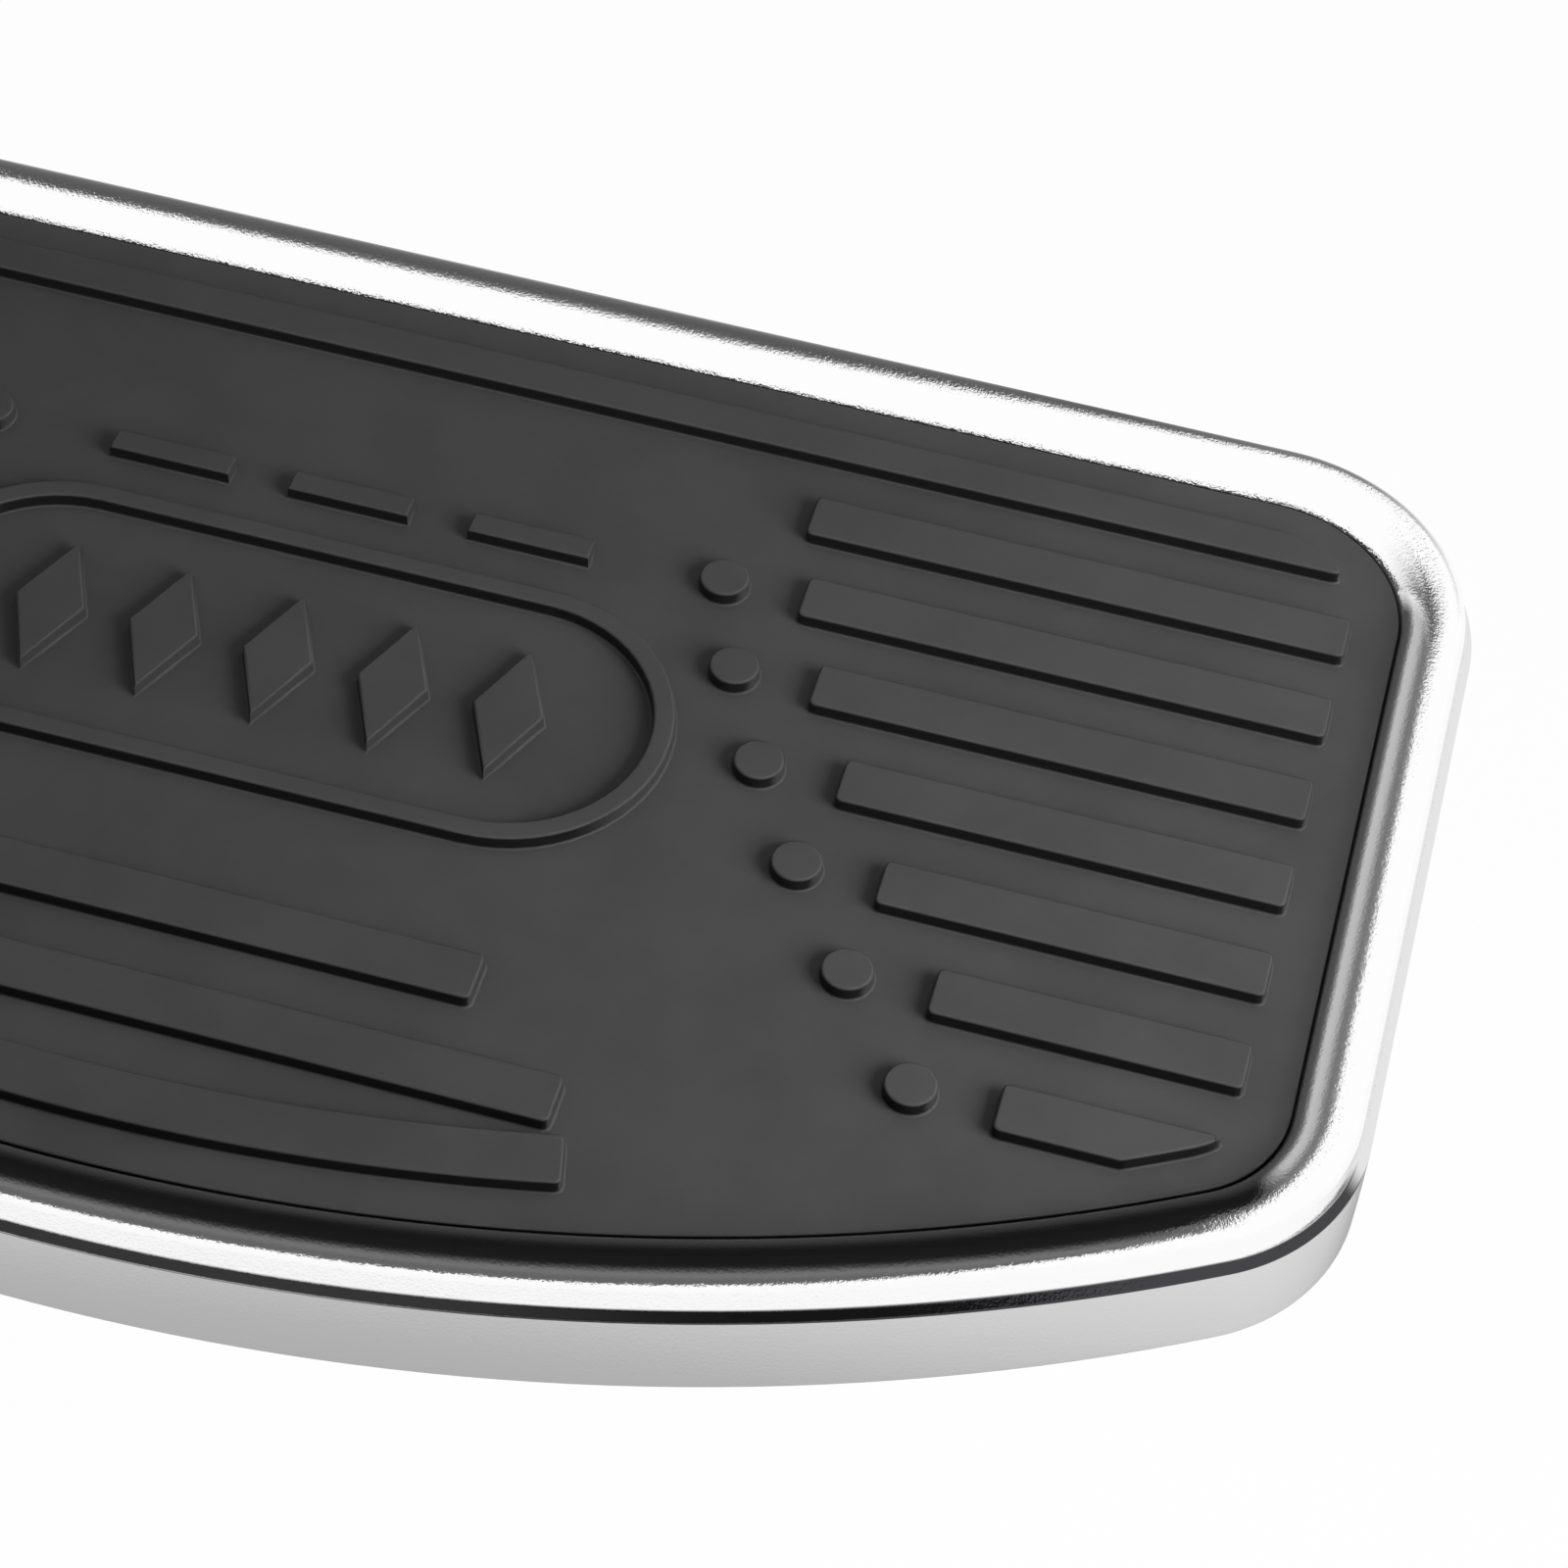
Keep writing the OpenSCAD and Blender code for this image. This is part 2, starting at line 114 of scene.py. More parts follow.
def board_stations():
    """Points round the board's outline, clockwise, each with its outward direction."""
    lean = math.degrees(math.asin(NEAR_CX / CORNER_REACH))
    right = []
    for i in range(STRAIGHT_STEPS):
        x = i * (HALF_LEN - FAR_CORNER_R) / STRAIGHT_STEPS
        right.append((Vector((x, 0)), Vector((0, 1))))

    def turn(cx, cy, r, start, stop, step):
        count = round(abs(stop - start) / step)
        for p in circle_points(cx, cy, r, start, stop, count):
            right.append((p, (p - Vector((cx, cy))).normalized()))

    turn(HALF_LEN - FAR_CORNER_R, -FAR_CORNER_R, FAR_CORNER_R, 90, 0, CORNER_STEP)
    for i in range(1, SIDE_STEPS):
        y = -FAR_CORNER_R + (NEAR_CY + FAR_CORNER_R) * i / SIDE_STEPS
        right.append((Vector((HALF_LEN, y)), Vector((1, 0))))
    turn(NEAR_CX, NEAR_CY, NEAR_CORNER_R, 0, lean - 90, CORNER_STEP)
    turn(0, ARC_CY, NEAR_ARC_R, lean - 90, -90, NEAR_ARC_STEP)
    kept = [right[0]]
    for p, n in right[1:]:
        if (p - kept[-1][0]).length > 0.01:
            kept.append((p, n))
    left = [(Vector((-p.x, p.y)), Vector((-n.x, n.y))) for p, n in reversed(kept[1:-1])]
    return kept + left


def rounded(points, steps=5):
    """An outline with its corners rounded; each point is (x, y, radius)."""
    out = []
    for i, (x, y, r) in enumerate(points):
        here = Vector((x, y))
        if r == 0:
            out.append(here)
            continue
        a = (Vector(points[i - 1][:2]) - here).normalized()
        b = (Vector(points[(i + 1) % len(points)][:2]) - here).normalized()
        half = a.angle(b) / 2
        run = r / math.tan(half)
        centre = here + (a + b).normalized() * (r / math.sin(half))
        start, stop = here + a * run - centre, here + b * run - centre
        sweep = start.angle_signed(stop)
        for k in range(steps + 1):
            t = -sweep * k / steps
            c, s = math.cos(t), math.sin(t)
            out.append(centre + Vector((start.x * c - start.y * s, start.x * s + start.y * c)))
    return out


def spaced(points, least):
    """An outline without points that lie nearly on the one before."""
    return [p for i, p in enumerate(points) if (p - points[i - 1]).length > least]


def skirt_at(z):
    """Where the slightly swelling skirt stands at a height; 0 is the outline at its foot."""
    return -SKIRT_SWELL * (PAN_H + z) ** 2


def rim_profile():
    """The tray's edge in section, from the top of its floor out over the rim and back under."""
    lean = math.degrees(math.asin((RIM_W + CREST_U) / RIM_INNER_R))
    floor_corner = (-RIM_W, FLOOR_TOP, FLOOR_FILLET_R)
    side = rounded([(PROFILE_IN, FLOOR_TOP, 0), floor_corner, (-RIM_W, WALL_MID, 0)])
    shoulder = circle_points(CREST_U, -RIM_INNER_R, RIM_INNER_R, 90 + lean, 90, 22)
    nose = circle_points(CREST_U, -NOSE_R, NOSE_R, 90, 8, 18)
    skirt_top = -NOSE_H - LEDGE_H - LEDGE_DOWN
    swell = [(skirt_at(z), z, 0) for z in (-7, -9, -11, -13, -15)]
    skirt = rounded(
        [
            (*nose[-1], 0),
            (-SKIRT_OUT, -NOSE_H + LEDGE_UP, NOSE_FOOT_R),
            (skirt_at(skirt_top), skirt_top, LEDGE_EDGE_R),
            *swell,
            (0, -PAN_H, SKIRT_FOOT_R),
            (-SKIRT_T, -PAN_H, SKIRT_INNER_R),
            (CREST_U - SKIRT_T / 2, FLOOR_UNDER, UNDER_FILLET_R),
            (PROFILE_IN, FLOOR_UNDER, 0),
        ],
        7,
    )
    points = side + shoulder + nose[1:] + skirt[1:]
    return [points[0]] + [p for a, p in zip(points, points[1:]) if (p - a).length > 0.02]


class Shape:
    """Gathers the corners and faces of one piece, in millimetres, and makes its object."""

    def __init__(self):
        self.corners = []
        self.faces = []

    def add(self, points):
        first = len(self.corners)
        self.corners.extend(Vector(p) for p in points)
        return range(first, len(self.corners))

    def bridge(self, low, high):
        """Joins two closed loops with the same number of corners."""
        for i in range(len(low)):
            k = (i + 1) % len(low)
            self.faces.append((low[i], low[k], high[k], high[i]))

    def fill(self, *loops):
        """Closes a flat region between an outer loop and any holes in it."""
        order = [i for loop in loops for i in loop]
        flat = [[Vector((*self.corners[i].xy, 0)) for i in loop] for loop in loops]
        self.faces.extend(tuple(order[k] for k in face) for face in tessellate_polygon(flat))

    def turned(self, profile, centre=(0, 0), steps=48, ring=False):
        """Turns a profile of (radius, height) round the upright axis. A ring stays open inside."""
        loops = []
        for r, z in profile:
            points = circle_points(*centre, r, 0, 360 - 360 / steps, steps - 1)
            loops.append(self.add([(*p, z) for p in points]))
        for low, high in zip(loops, loops[1:]):
            self.bridge(low, high)
        if ring:
            self.bridge(loops[-1], loops[0])
        else:
            self.fill(loops[0])
            self.fill(loops[-1])

    def prism(self, outlines, low, high, edge=0.5):
        """A plate between two heights, with rounded edges. Holes run the other way round."""
        sides = [(edge * (1 - math.sin(t)), low + edge * (1 - math.cos(t))) for t in QUARTER]
        sides += [(u, low + high - z) for u, z in reversed(sides)]
        lids = []
        for outline in outlines:
            loops = [self.add([(*p, z) for p in moved_in(outline, u)]) for u, z in sides]
            for a, b in zip(loops, loops[1:]):
                self.bridge(a, b)
            lids.append((loops[0], loops[-1]))
        self.fill(*[a for a, b in lids])
        self.fill(*[b for a, b in lids])

    def place(self, start, matrix):
        """Moves the corners added since the given count."""
        for i in range(start, len(self.corners)):
            self.corners[i] = matrix @ self.corners[i]

    def made(self, name, finish, node, body, slot, sharp=35):
        """The piece's object, standing for a node of the frame and moving with a body of it."""
        mesh = bpy.data.meshes.new(name)
        mesh.from_pydata([p * MM for p in self.corners], [], self.faces)
        mesh.validate()
        closed = bmesh.new()
        closed.from_mesh(mesh)
        bmesh.ops.recalc_face_normals(closed, faces=closed.faces)
        closed.to_mesh(mesh)
        closed.free()
        mesh.polygons.foreach_set("use_smooth", [True] * len(mesh.polygons))
        mesh.set_sharp_from_angle(angle=math.radians(sharp))
        mesh.materials.append(finish.material)
        piece = bpy.data.objects.new(name, mesh)
        bpy.context.collection.objects.link(piece)
        flat_faces = piece.modifiers.new("flat_faces", "WEIGHTED_NORMAL")
        flat_faces.keep_sharp = True
        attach(piece, body)
        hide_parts(node)
        return piece


QUARTER = [math.pi / 2 * k / 3 for k in range(4)]


def moved_in(outline, by):
    """An outline moved inwards by a distance; a hole's outline runs the other way round."""
    out = []
    n = len(outline)
    for i, p in enumerate(outline):
        a = (p - outline[i - 1]).normalized()
        b = (outline[(i + 1) % n] - p).normalized()
        na, nb = Vector((-a.y, a.x)), Vector((-b.y, b.x))
        out.append(p + (na + nb) / max(0.3, 1 + na.dot(nb)) * by)
    return out


class Value:
    """A number that varies over a surface. Sums and products of values add Math nodes."""

    def __init__(self, finish, socket):
        self.finish = finish
        self.socket = socket

    def math(self, operation, *terms):
        return self.finish.node("ShaderNodeMath", {"operation": operation}, dict(enumerate(terms)))

    def __add__(self, other):
        return self.math("ADD", self, other)

    def __mul__(self, other):
        return self.math("MULTIPLY", self, other)

    def __sub__(self, other):
        return self.math("SUBTRACT", self, other)

    def __rsub__(self, other):
        return self.math("SUBTRACT", other, self)

    __radd__ = __add__
    __rmul__ = __mul__

    def between(self, low, high):
        """0 below one value and 1 above the other, with a smooth step between them."""
        return self.finish.node(
            "ShaderNodeMapRange",
            {"interpolation_type": "SMOOTHSTEP"},
            {"Value": self, "From Min": low, "From Max": high},
        )


class Finish:
    """A material with one Principled shader, whose other nodes are written as expressions."""

    def __init__(self, name, **sockets):
        self.material = bpy.data.materials.new(name)
        self.material.use_nodes = True
        self.tree = self.material.node_tree
        self.shader = self.tree.nodes["Principled BSDF"]
        for key, value in sockets.items():
            self.shader.inputs[key.replace("_", " ")].default_value = value

    def node(self, kind, settings, inputs, output=0):
        made = self.tree.nodes.new(kind)
        for key, value in settings.items():
            setattr(made, key, value)
        for key, value in inputs.items():
            if isinstance(value, Value):
                self.tree.links.new(value.socket, made.inputs[key])
            else:
                made.inputs[key].default_value = value
        return Value(self, made.outputs[output])

    def drive(self, socket, value):
        self.tree.links.new(value.socket, self.shader.inputs[socket])

    def place(self, output="Object"):
        return self.node("ShaderNodeTexCoord", {}, {}, output)

    def along(self, axis, output="Object"):
        """The place on one axis, or that part of the surface's direction."""
        return self.node("ShaderNodeSeparateXYZ", {}, {"Vector": self.place(output)}, axis)

    def noise(self, size_mm, detail=2.0, roughness=0.5):
        inputs = {"Vector": self.place(), "Scale": 1 / (size_mm * MM)}
        inputs |= {"Detail": detail, "Roughness": roughness}
        return self.node("ShaderNodeTexNoise", {}, inputs)

    def blend(self, amount, first, second):
        """A mix of two colours, each a plain one or a varying one."""
        first, second = [c if isinstance(c, Value) else (*c, 1) for c in (first, second)]
        return self.node("ShaderNodeMix", {"data_type": "RGBA"}, {0: amount, 6: first, 7: second}, 2)

    def bump(self, height, depth_mm, strength=1.0):
        inputs = {"Height": height, "Distance": depth_mm * MM, "Strength": strength}
        self.drive("Normal", self.node("ShaderNodeBump", {}, inputs))


LEDGE_LOW = CREST_Z - NOSE_H - LEDGE_H - 0.25
LEDGE_TOP = CREST_Z - NOSE_H + 0.1
POLISHED = (0.985, 0.985, 0.985)
# Painted shade for the crease of the ledge under the rim's nose, from lightest to darkest.
LEDGE_PAINTED_SHADE = (0.78, 0.78, 0.78)
NEAR_LEDGE_PAINTED_SHADE = (0.28, 0.28, 0.29)
RIGHT_LEDGE_PAINTED_SHADE = (0.06, 0.06, 0.065)

chrome = Finish("chrome", Metallic=1.0)
height = chrome.along("Z")
on_ledge = height.between((LEDGE_LOW - 0.15) * MM, LEDGE_LOW * MM)
on_ledge = on_ledge * (1 - height.between(LEDGE_TOP * MM, (LEDGE_TOP + 0.3) * MM))
near_side = 1 - chrome.along("Y", "Normal").between(-0.2, -0.08)
right_side = chrome.along("X", "Normal").between(0.1, 0.2)
# The ledge band under the rim's nose gets painted shade instead of polished chrome: light grey along the
# far side and the straight ends, darker grey along the near side, and nearly black where the near side
# turns towards the right-hand end.
ledge_painted_shade = chrome.blend(right_side, NEAR_LEDGE_PAINTED_SHADE, RIGHT_LEDGE_PAINTED_SHADE)
ledge_painted_shade = chrome.blend(near_side, LEDGE_PAINTED_SHADE, ledge_painted_shade)
underneath = 1 - chrome.along("Z", "Normal").between(-0.75, -0.5)
chrome.drive("Base Color", chrome.blend(on_ledge, POLISHED, ledge_painted_shade))
chrome.drive("Roughness", 0.03 + 0.05 * chrome.noise(9, 4) + 0.28 * underneath)
on_rim = chrome.along("Z", "Normal").between(0.05, 0.3)
chrome.bump(chrome.noise(0.36, 2, 0.6) + 0.7 * chrome.noise(2.4, 2), 0.042, 0.16 + 0.84 * on_rim)

around = board_stations()
tray = Shape()
loops = [tray.add([(*(p + n * u), z) for p, n in around]) for u, z in rim_profile()]
for low, high in zip(loops, loops[1:]):
    tray.bridge(low, high)
tray.fill(loops[0])
tray.fill(loops[-1])
BOARD_PLACE = Matrix.Translation((0, BOARD_Y, CREST_Z))
tray.place(0, BOARD_PLACE)
tray.made("chrome_tray", chrome, "footboard_pan", "board", "chrome", 30)


# Underside of the tray
# The same casting, left as it came from the mould: ribs under the floor, bosses for the
# pad's studs and the down stops, and the two lugs that the hinge pins go through.
RIB_T = 2.6
RIB_H = 4.4
RIB_ROWS = (27.0, 54.67, 82.33, 110.0)
RIB_COLUMNS = (34.6, 65.3, 96.0)
PIVOT_INSET = 12.0
PIVOT_DROP = 14.0
LUG_IN = 30.1
LUG_T = 9.0
LUG_R = 9.5
STUD_PLACES = ((108, -68.5), (80.6, -40.8), (80.6, -96.2), (50, -68.5), (17.3, -68.5), (17.3, -124))
STUD_BOSS_R = 5.5
STOP_X = 20.0
STOP_REACH = 26.0
STOP_FACE = 12.0
STOP_BOSS_R = 7.0
BOSS_FOOT = 0.8
BOSS_EDGE = 0.4
PIN_R = 4.0
PIVOT_PLACE = Matrix.Translation((0, -30, 42))
ALONG_X = Matrix(((0, 0, 1, 0), (1, 0, 0, 0), (0, 1, 0, 0), (0, 0, 0, 1)))
MIRRORED = Matrix.Scale(-1, 4, (1, 0, 0))


def clipped(outline, border):
    """The part of an outline that lies inside a convex border; both run counter-clockwise."""
    for i, a in enumerate(border):
        edge = border[(i + 1) % len(border)] - a
        kept = []
        for k, q in enumerate(outline):
            p = outline[k - 1]
            side_p, side_q = edge.cross(p - a), edge.cross(q - a)
            if (side_p < 0) != (side_q < 0):
                kept.append(p + (q - p) * (side_p / (side_p - side_q)))
            if side_q >= 0:
                kept.append(q)
        outline = kept
    return outline


def box_outline(x0, y0, x1, y1):
    return [Vector(p) for p in ((x0, y0), (x1, y0), (x1, y1), (x0, y1))]


def inside(u):
    """The board's outline moved inwards, counter-clockwise."""
    return [p + n * u for p, n in reversed(around)]


cast_chrome = Finish("cast_chrome", Metallic=1.0)
cast_skin = cast_chrome.blend(cast_chrome.noise(6, 4), (0.6, 0.61, 0.62), (0.8, 0.81, 0.82))
cast_chrome.drive("Base Color", cast_skin)
cast_chrome.drive("Roughness", 0.28 + 0.2 * cast_chrome.noise(2, 4))
cast_chrome.bump(cast_chrome.noise(0.8, 4, 0.6), 0.03)

casting = Shape()
rib_wall = inside(-SKIRT_T - 0.3)


def add_rib(x0, y0, x1, y1):
    rib = spaced(clipped(box_outline(x0, y0, x1, y1), rib_wall), 0.05)
    casting.prism([rib], FLOOR_UNDER - RIB_H, FLOOR_UNDER + 0.6, 0.5)


for y in RIB_ROWS:
    add_rib(-HALF_LEN, -y - RIB_T / 2, HALF_LEN, -y + RIB_T / 2)
for x in RIB_COLUMNS:
    for side in (-x, x):
        add_rib(side - RIB_T / 2, -BOARD_DEPTH, side + RIB_T / 2, -PIVOT_INSET)
stud_boss = [(STUD_BOSS_R + BOSS_FOOT, FLOOR_UNDER + 0.1), (STUD_BOSS_R, FLOOR_UNDER - 0.5)]
stud_boss += [(STUD_BOSS_R - BOSS_EDGE, FLOOR_UNDER - 1)]
stop_top = FLOOR_UNDER - PIVOT_DROP + STOP_FACE
stop_boss = [(STOP_BOSS_R + BOSS_FOOT, FLOOR_UNDER + 0.1), (STOP_BOSS_R, FLOOR_UNDER - 0.7)]
stop_boss += [(STOP_BOSS_R, stop_top + BOSS_EDGE), (STOP_BOSS_R - BOSS_EDGE, stop_top)]
for side in (-1, 1):
    for x, y in STUD_PLACES:
        casting.turned(stud_boss, (side * x, y))
    casting.turned(stop_boss, (side * STOP_X, -PIVOT_INSET - STOP_REACH))
casting.place(0, BOARD_PLACE)
heel = LUG_R + 9
lug_top = PIVOT_DROP + 0.8
lug = rounded(
    [(LUG_R, lug_top, 0), (-heel, lug_top, 0), (-heel, PIVOT_DROP - 2, 1.5), (-LUG_R, 0.01, 4)]
)
lug += circle_points(0, 0, LUG_R, 180, 360, 30)
pin_hole = circle_points(0, 0, PIN_R + 0.05, 360, 10, 35)
for side in (Matrix(), MIRRORED):
    start = len(casting.corners)
    casting.prism([spaced(lug, 0.05), pin_hole], LUG_IN, LUG_IN + LUG_T, 0.6)
    casting.place(start, side @ PIVOT_PLACE @ ALONG_X)
casting.made("tray_casting_underside", cast_chrome, "footboard_pan", "board", "chrome")


# Rubber tread pad
# Moulded in black rubber and pressed into the tray: a plate with a rounded upper edge,
# raised bars cut to the tray's outline, a design of plain shapes, and studs underneath.
PAD_Z = -2.8
PAD_SIDE_U = -9.0
BAR_H = 1.6
BAR_W = 6.0
BAR_PITCH = 12.2
FIRST_BAR = 18.9
BARS_U = -14.1
LAST_BAR_U = -12.8
LAST_BAR_END = 110.4
SIDE_ROWS = 7
FIELD_FAR_HALF = 50.0
FIELD_NEAR_HALF = 88.0
BAR_ROUND = 0.35
BAR_FOOT = 0.3
BAR_CORNER = 0.9

rubber = Finish("tread_rubber", Specular_IOR_Level=0.22)
facing_up = rubber.along("Z", "Normal").between(0.35, 0.97)
bloom = rubber.noise(16, 5, 0.6).between(0.3, 0.7)
mottled = rubber.blend(bloom, (0.046, 0.046, 0.047), (0.054, 0.054, 0.055))
# The walls of the rubber pieces get painted shade: nearly black where they face the near side, dark grey
# elsewhere, and a lighter painted highlight where they face right. Only the upward faces keep the
# rubber's own mottled colour.
facing_near = 1 - rubber.along("Y", "Normal").between(-0.5, -0.1)
facing_right = rubber.along("X", "Normal").between(0.6, 0.9)
wall_painted_shade = rubber.blend(facing_near, (0.016, 0.016, 0.016), (0.006, 0.006, 0.006))
wall_painted_shade = rubber.blend(facing_right, wall_painted_shade, (0.026, 0.026, 0.026))
rubber.drive("Base Color", rubber.blend(facing_up, wall_painted_shade, mottled))
rubber.drive("Roughness", 0.5 + 0.22 * rubber.noise(5, 4))
rubber.bump(rubber.noise(0.35, 3, 0.6) + 1.5 * rubber.noise(3, 3), 0.014)


def raise_bar(shape, *outlines):
    """A bar on the pad with a filleted foot and a rounded upper edge."""
    tops = []
    profile = [(-BAR_FOOT, -0.01), (-BAR_FOOT * 0.35, BAR_FOOT * 0.25), (0, BAR_FOOT)]
    profile += [(BAR_ROUND * (1 - math.cos(t)), BAR_H - BAR_ROUND * (1 - math.sin(t))) for t in QUARTER]
    for outline in outlines:
        outline = spaced(outline, 0.05)
        rings = [shape.add([(*p, PAD_Z + z) for p in moved_in(outline, u)]) for u, z in profile]
        for low, high in zip(rings, rings[1:]):
            shape.bridge(low, high)
        tops.append(rings[-1])
    shape.fill(*tops)


def soft_bar(outline):
    """A bar's outline with its corners cut off along a short curve."""
    outline = spaced(outline, 0.05)
    count = len(outline)
    corners = {}
    for i, p in enumerate(outline):
        turn = (outline[i - 1] - p).angle(outline[(i + 1) % count] - p)
        if turn < math.radians(150):
            corners[i] = min(2.6, BAR_CORNER / math.tan(turn / 2))
    out = []
    for i, p in enumerate(outline):
        if i in corners:
            ends = []
            for step in (-1, 1):
                k, left = i, corners[i]
                here, there = outline[k], outline[(k + step) % count]
                while (there - here).length < left:
                    left -= (there - here).length
                    k += step
                    here, there = outline[k % count], outline[(k + step) % count]
                ends.append(here.lerp(there, left / (there - here).length))
            a, b = ends
            out += [a.lerp(p, t).lerp(p.lerp(b, t), t) for t in (0, 0.2, 0.4, 0.6, 0.8, 1)]
        elif all((p - outline[k]).length > cut for k, cut in corners.items()):
            out.append(p)
    return out


def row_y(row):
    return -FIRST_BAR - row * BAR_PITCH


def field_at(row):
    return FIELD_FAR_HALF + (FIELD_NEAR_HALF - FIELD_FAR_HALF) * ((row - 1) / (SIDE_ROWS - 1)) ** 1.6


def mirrored(outline):
    return [Vector((-p.x, p.y)) for p in reversed(outline)]


pad = Shape()
pad_profile = [(PAD_SIDE_U, FLOOR_TOP), (PAD_SIDE_U, -4.2), (-8.9, -3.5), (-8.74, -3.15)]
pad_profile += [(-8.74, PAD_Z - 0.2), (-8.8, PAD_Z - 0.08), (-8.95, PAD_Z)]
rings = [pad.add([(*p, z) for p in inside(u)]) for u, z in pad_profile]
for low, high in zip(rings, rings[1:]):
    pad.bridge(low, high)
pad.fill(rings[-1])
pad.fill(rings[0])

border = inside(BARS_U)
raise_bar(pad, soft_bar(clipped(box_outline(-HALF_LEN, -FIRST_BAR, HALF_LEN, 0), border)))
for row in range(1, SIDE_ROWS + 1):
    last = row == SIDE_ROWS
    x0, y0 = field_at(row), row_y(row)
    x1, y1 = LAST_BAR_END if last else HALF_LEN, y0 + BAR_W
    bar = soft_bar(clipped(box_outline(x0, y0, x1, y1), inside(LAST_BAR_U) if last else border))
    raise_bar(pad, bar)
    raise_bar(pad, mirrored(bar))

RING_Y = 5 - BOARD_DEPTH / 2
RING_HALF = 26.0
RING_R = 18.0
LINE_W = 2.4
DOT_R = 2.8
DOT_GAP = 9.0


def racetrack(r):
    right_end = circle_points(RING_HALF, RING_Y, r, -90, 90, 28)
    left_end = circle_points(-RING_HALF, RING_Y, r, 90, 270, 28)
    return right_end + left_end


raise_bar(pad, racetrack(RING_R), list(reversed(racetrack(RING_R - LINE_W))))
for k in range(-2, 3):
    x = k * RING_HALF / 2
    lozenge = [Vector(p) for p in ((x + 4, RING_Y), (x, RING_Y + 9), (x - 4, RING_Y), (x, RING_Y - 9))]
    raise_bar(pad, lozenge)
for k in range(-1, 2):
    raise_bar(pad, box_outline(k * 21 - 7, row_y(2) + 1, k * 21 + 7, row_y(2) + 4))
for row in range(2, SIDE_ROWS + 1):
    for side in (-1, 1):
        x = side * (field_at(row) - DOT_GAP)
        raise_bar(pad, circle_points(x, row_y(row) + BAR_W / 2, DOT_R, 0, 348, 29))
for row, half in ((SIDE_ROWS, 33.6), (SIDE_ROWS + 1, 45.6)):
    raise_bar(pad, soft_bar(box_outline(-half, row_y(row), half, row_y(row) + BAR_W)))
CURVED_R = NEAR_ARC_R - RIM_W - 4.4
curved_bar = circle_points(0, ARC_CY, CURVED_R, -103, -77, 40)
curved_bar += circle_points(0, ARC_CY, CURVED_R - BAR_W, -77, -103, 40)
raise_bar(pad, soft_bar(curved_bar))

STUD_R = 3.0
barb_z = FLOOR_UNDER - 1.1
stud_end = FLOOR_UNDER - 4
stud = rounded(
    [
        (STUD_R, FLOOR_TOP + 0.5, 0),
        (STUD_R, barb_z, 0.3),
        (STUD_R + 1, barb_z, 0.4),
        (STUD_R - 1, stud_end, 0.6),
        (0.4, stud_end, 0),
    ],
    3,
)
for side in (-1, 1):
    for x, y in STUD_PLACES:
        pad.turned(stud, (side * x, y), 32)
pad.place(0, BOARD_PLACE)
pad.made("tread_pad_rubber", rubber, "tread_pad", "board", "rubber", 50)


# Bracket
# Welded from thick steel plate and powder-coated black: a bolted plate, two ears with
# bored eyes, gussets under them, and a shelf across for the stop screws.
EAR_IN = 16.0
EAR_T = 12.0
EAR_R = 10.5
EAR_BACK = 7.5
BUSH_R = 5.55
PLATE_T = 9.0
PLATE_W = 60.0
PLATE_R = 9
PLATE_FACE = 21.0
LEG_TOP = 12.0
LEG_LOW = 30.0
GUSSET_T = 6.0
GUSSET_LOW = 62.0
SHELF_TOP = -3.0
SHELF_T = 9.0
SHELF_END = 33.5
BOLT_SPACING = 38.0
BOLT_HOLE_R = 4.25
STOP_SCREW_R = 3.0

black_paint = Finish("black_powder_coat", Specular_IOR_Level=0.45)
worn = black_paint.noise(18, 5, 0.65).between(0.62, 0.78)
black_paint.drive("Base Color", black_paint.blend(worn, (0.017, 0.017, 0.019), (0.032, 0.031, 0.03)))
black_paint.drive("Roughness", 0.36 + 0.14 * black_paint.noise(1.2, 4) + 0.1 * worn)
black_paint.bump(black_paint.noise(0.9, 3), 0.04)

bracket = Shape()
quarters = ((1, -1), (1, 1), (-1, 1), (-1, -1))
plate = rounded([(x * PLATE_W / 2, y * PLATE_W / 2, PLATE_R) for x, y in quarters], 9)
bolt_holes = [circle_points(0, y * BOLT_SPACING / 2, BOLT_HOLE_R, 360, 10, 35) for y in (-1, 1)]
bracket.prism([plate, *bolt_holes], 0, PLATE_T, 0.9)
bracket.place(0, Matrix.Rotation(math.pi / 2, 4, "X"))
ear_meets = -math.sqrt(EAR_R**2 - EAR_BACK**2)
ear = circle_points(0, 0, EAR_R, math.degrees(math.atan2(ear_meets, EAR_BACK)), 180, 40)
ear += rounded(
    [
        (-EAR_R, SHELF_TOP, 1.5),
        (-SHELF_END, SHELF_TOP, 1.5),
        (-SHELF_END, SHELF_TOP - SHELF_T, 2),
        (-EAR_R - 2, -LEG_LOW, 3),
        (PLATE_FACE + 0.5, -LEG_LOW, 0),
        (PLATE_FACE + 0.5, -LEG_TOP, 0),
        (EAR_BACK, -LEG_TOP, 2),
    ]
)
eye = circle_points(0, 0, BUSH_R, 360, 8, 44)
gusset = ((-6, 1 - LEG_LOW), (PLATE_FACE + 0.5, 1 - LEG_LOW), (PLATE_FACE + 0.5, -GUSSET_LOW))
gusset = [Vector(p) for p in gusset]
for side in (Matrix(), MIRRORED):
    start = len(bracket.corners)
    bracket.prism([spaced(ear, 0.05), eye], EAR_IN, EAR_IN + EAR_T, 0.8)
    middle = EAR_IN + EAR_T / 2
    bracket.prism([list(reversed(gusset))], middle - GUSSET_T / 2, middle + GUSSET_T / 2, 0.5)
    bracket.place(start, side @ PIVOT_PLACE @ ALONG_X)
start = len(bracket.corners)
shelf_x = EAR_IN + EAR_T - 0.3
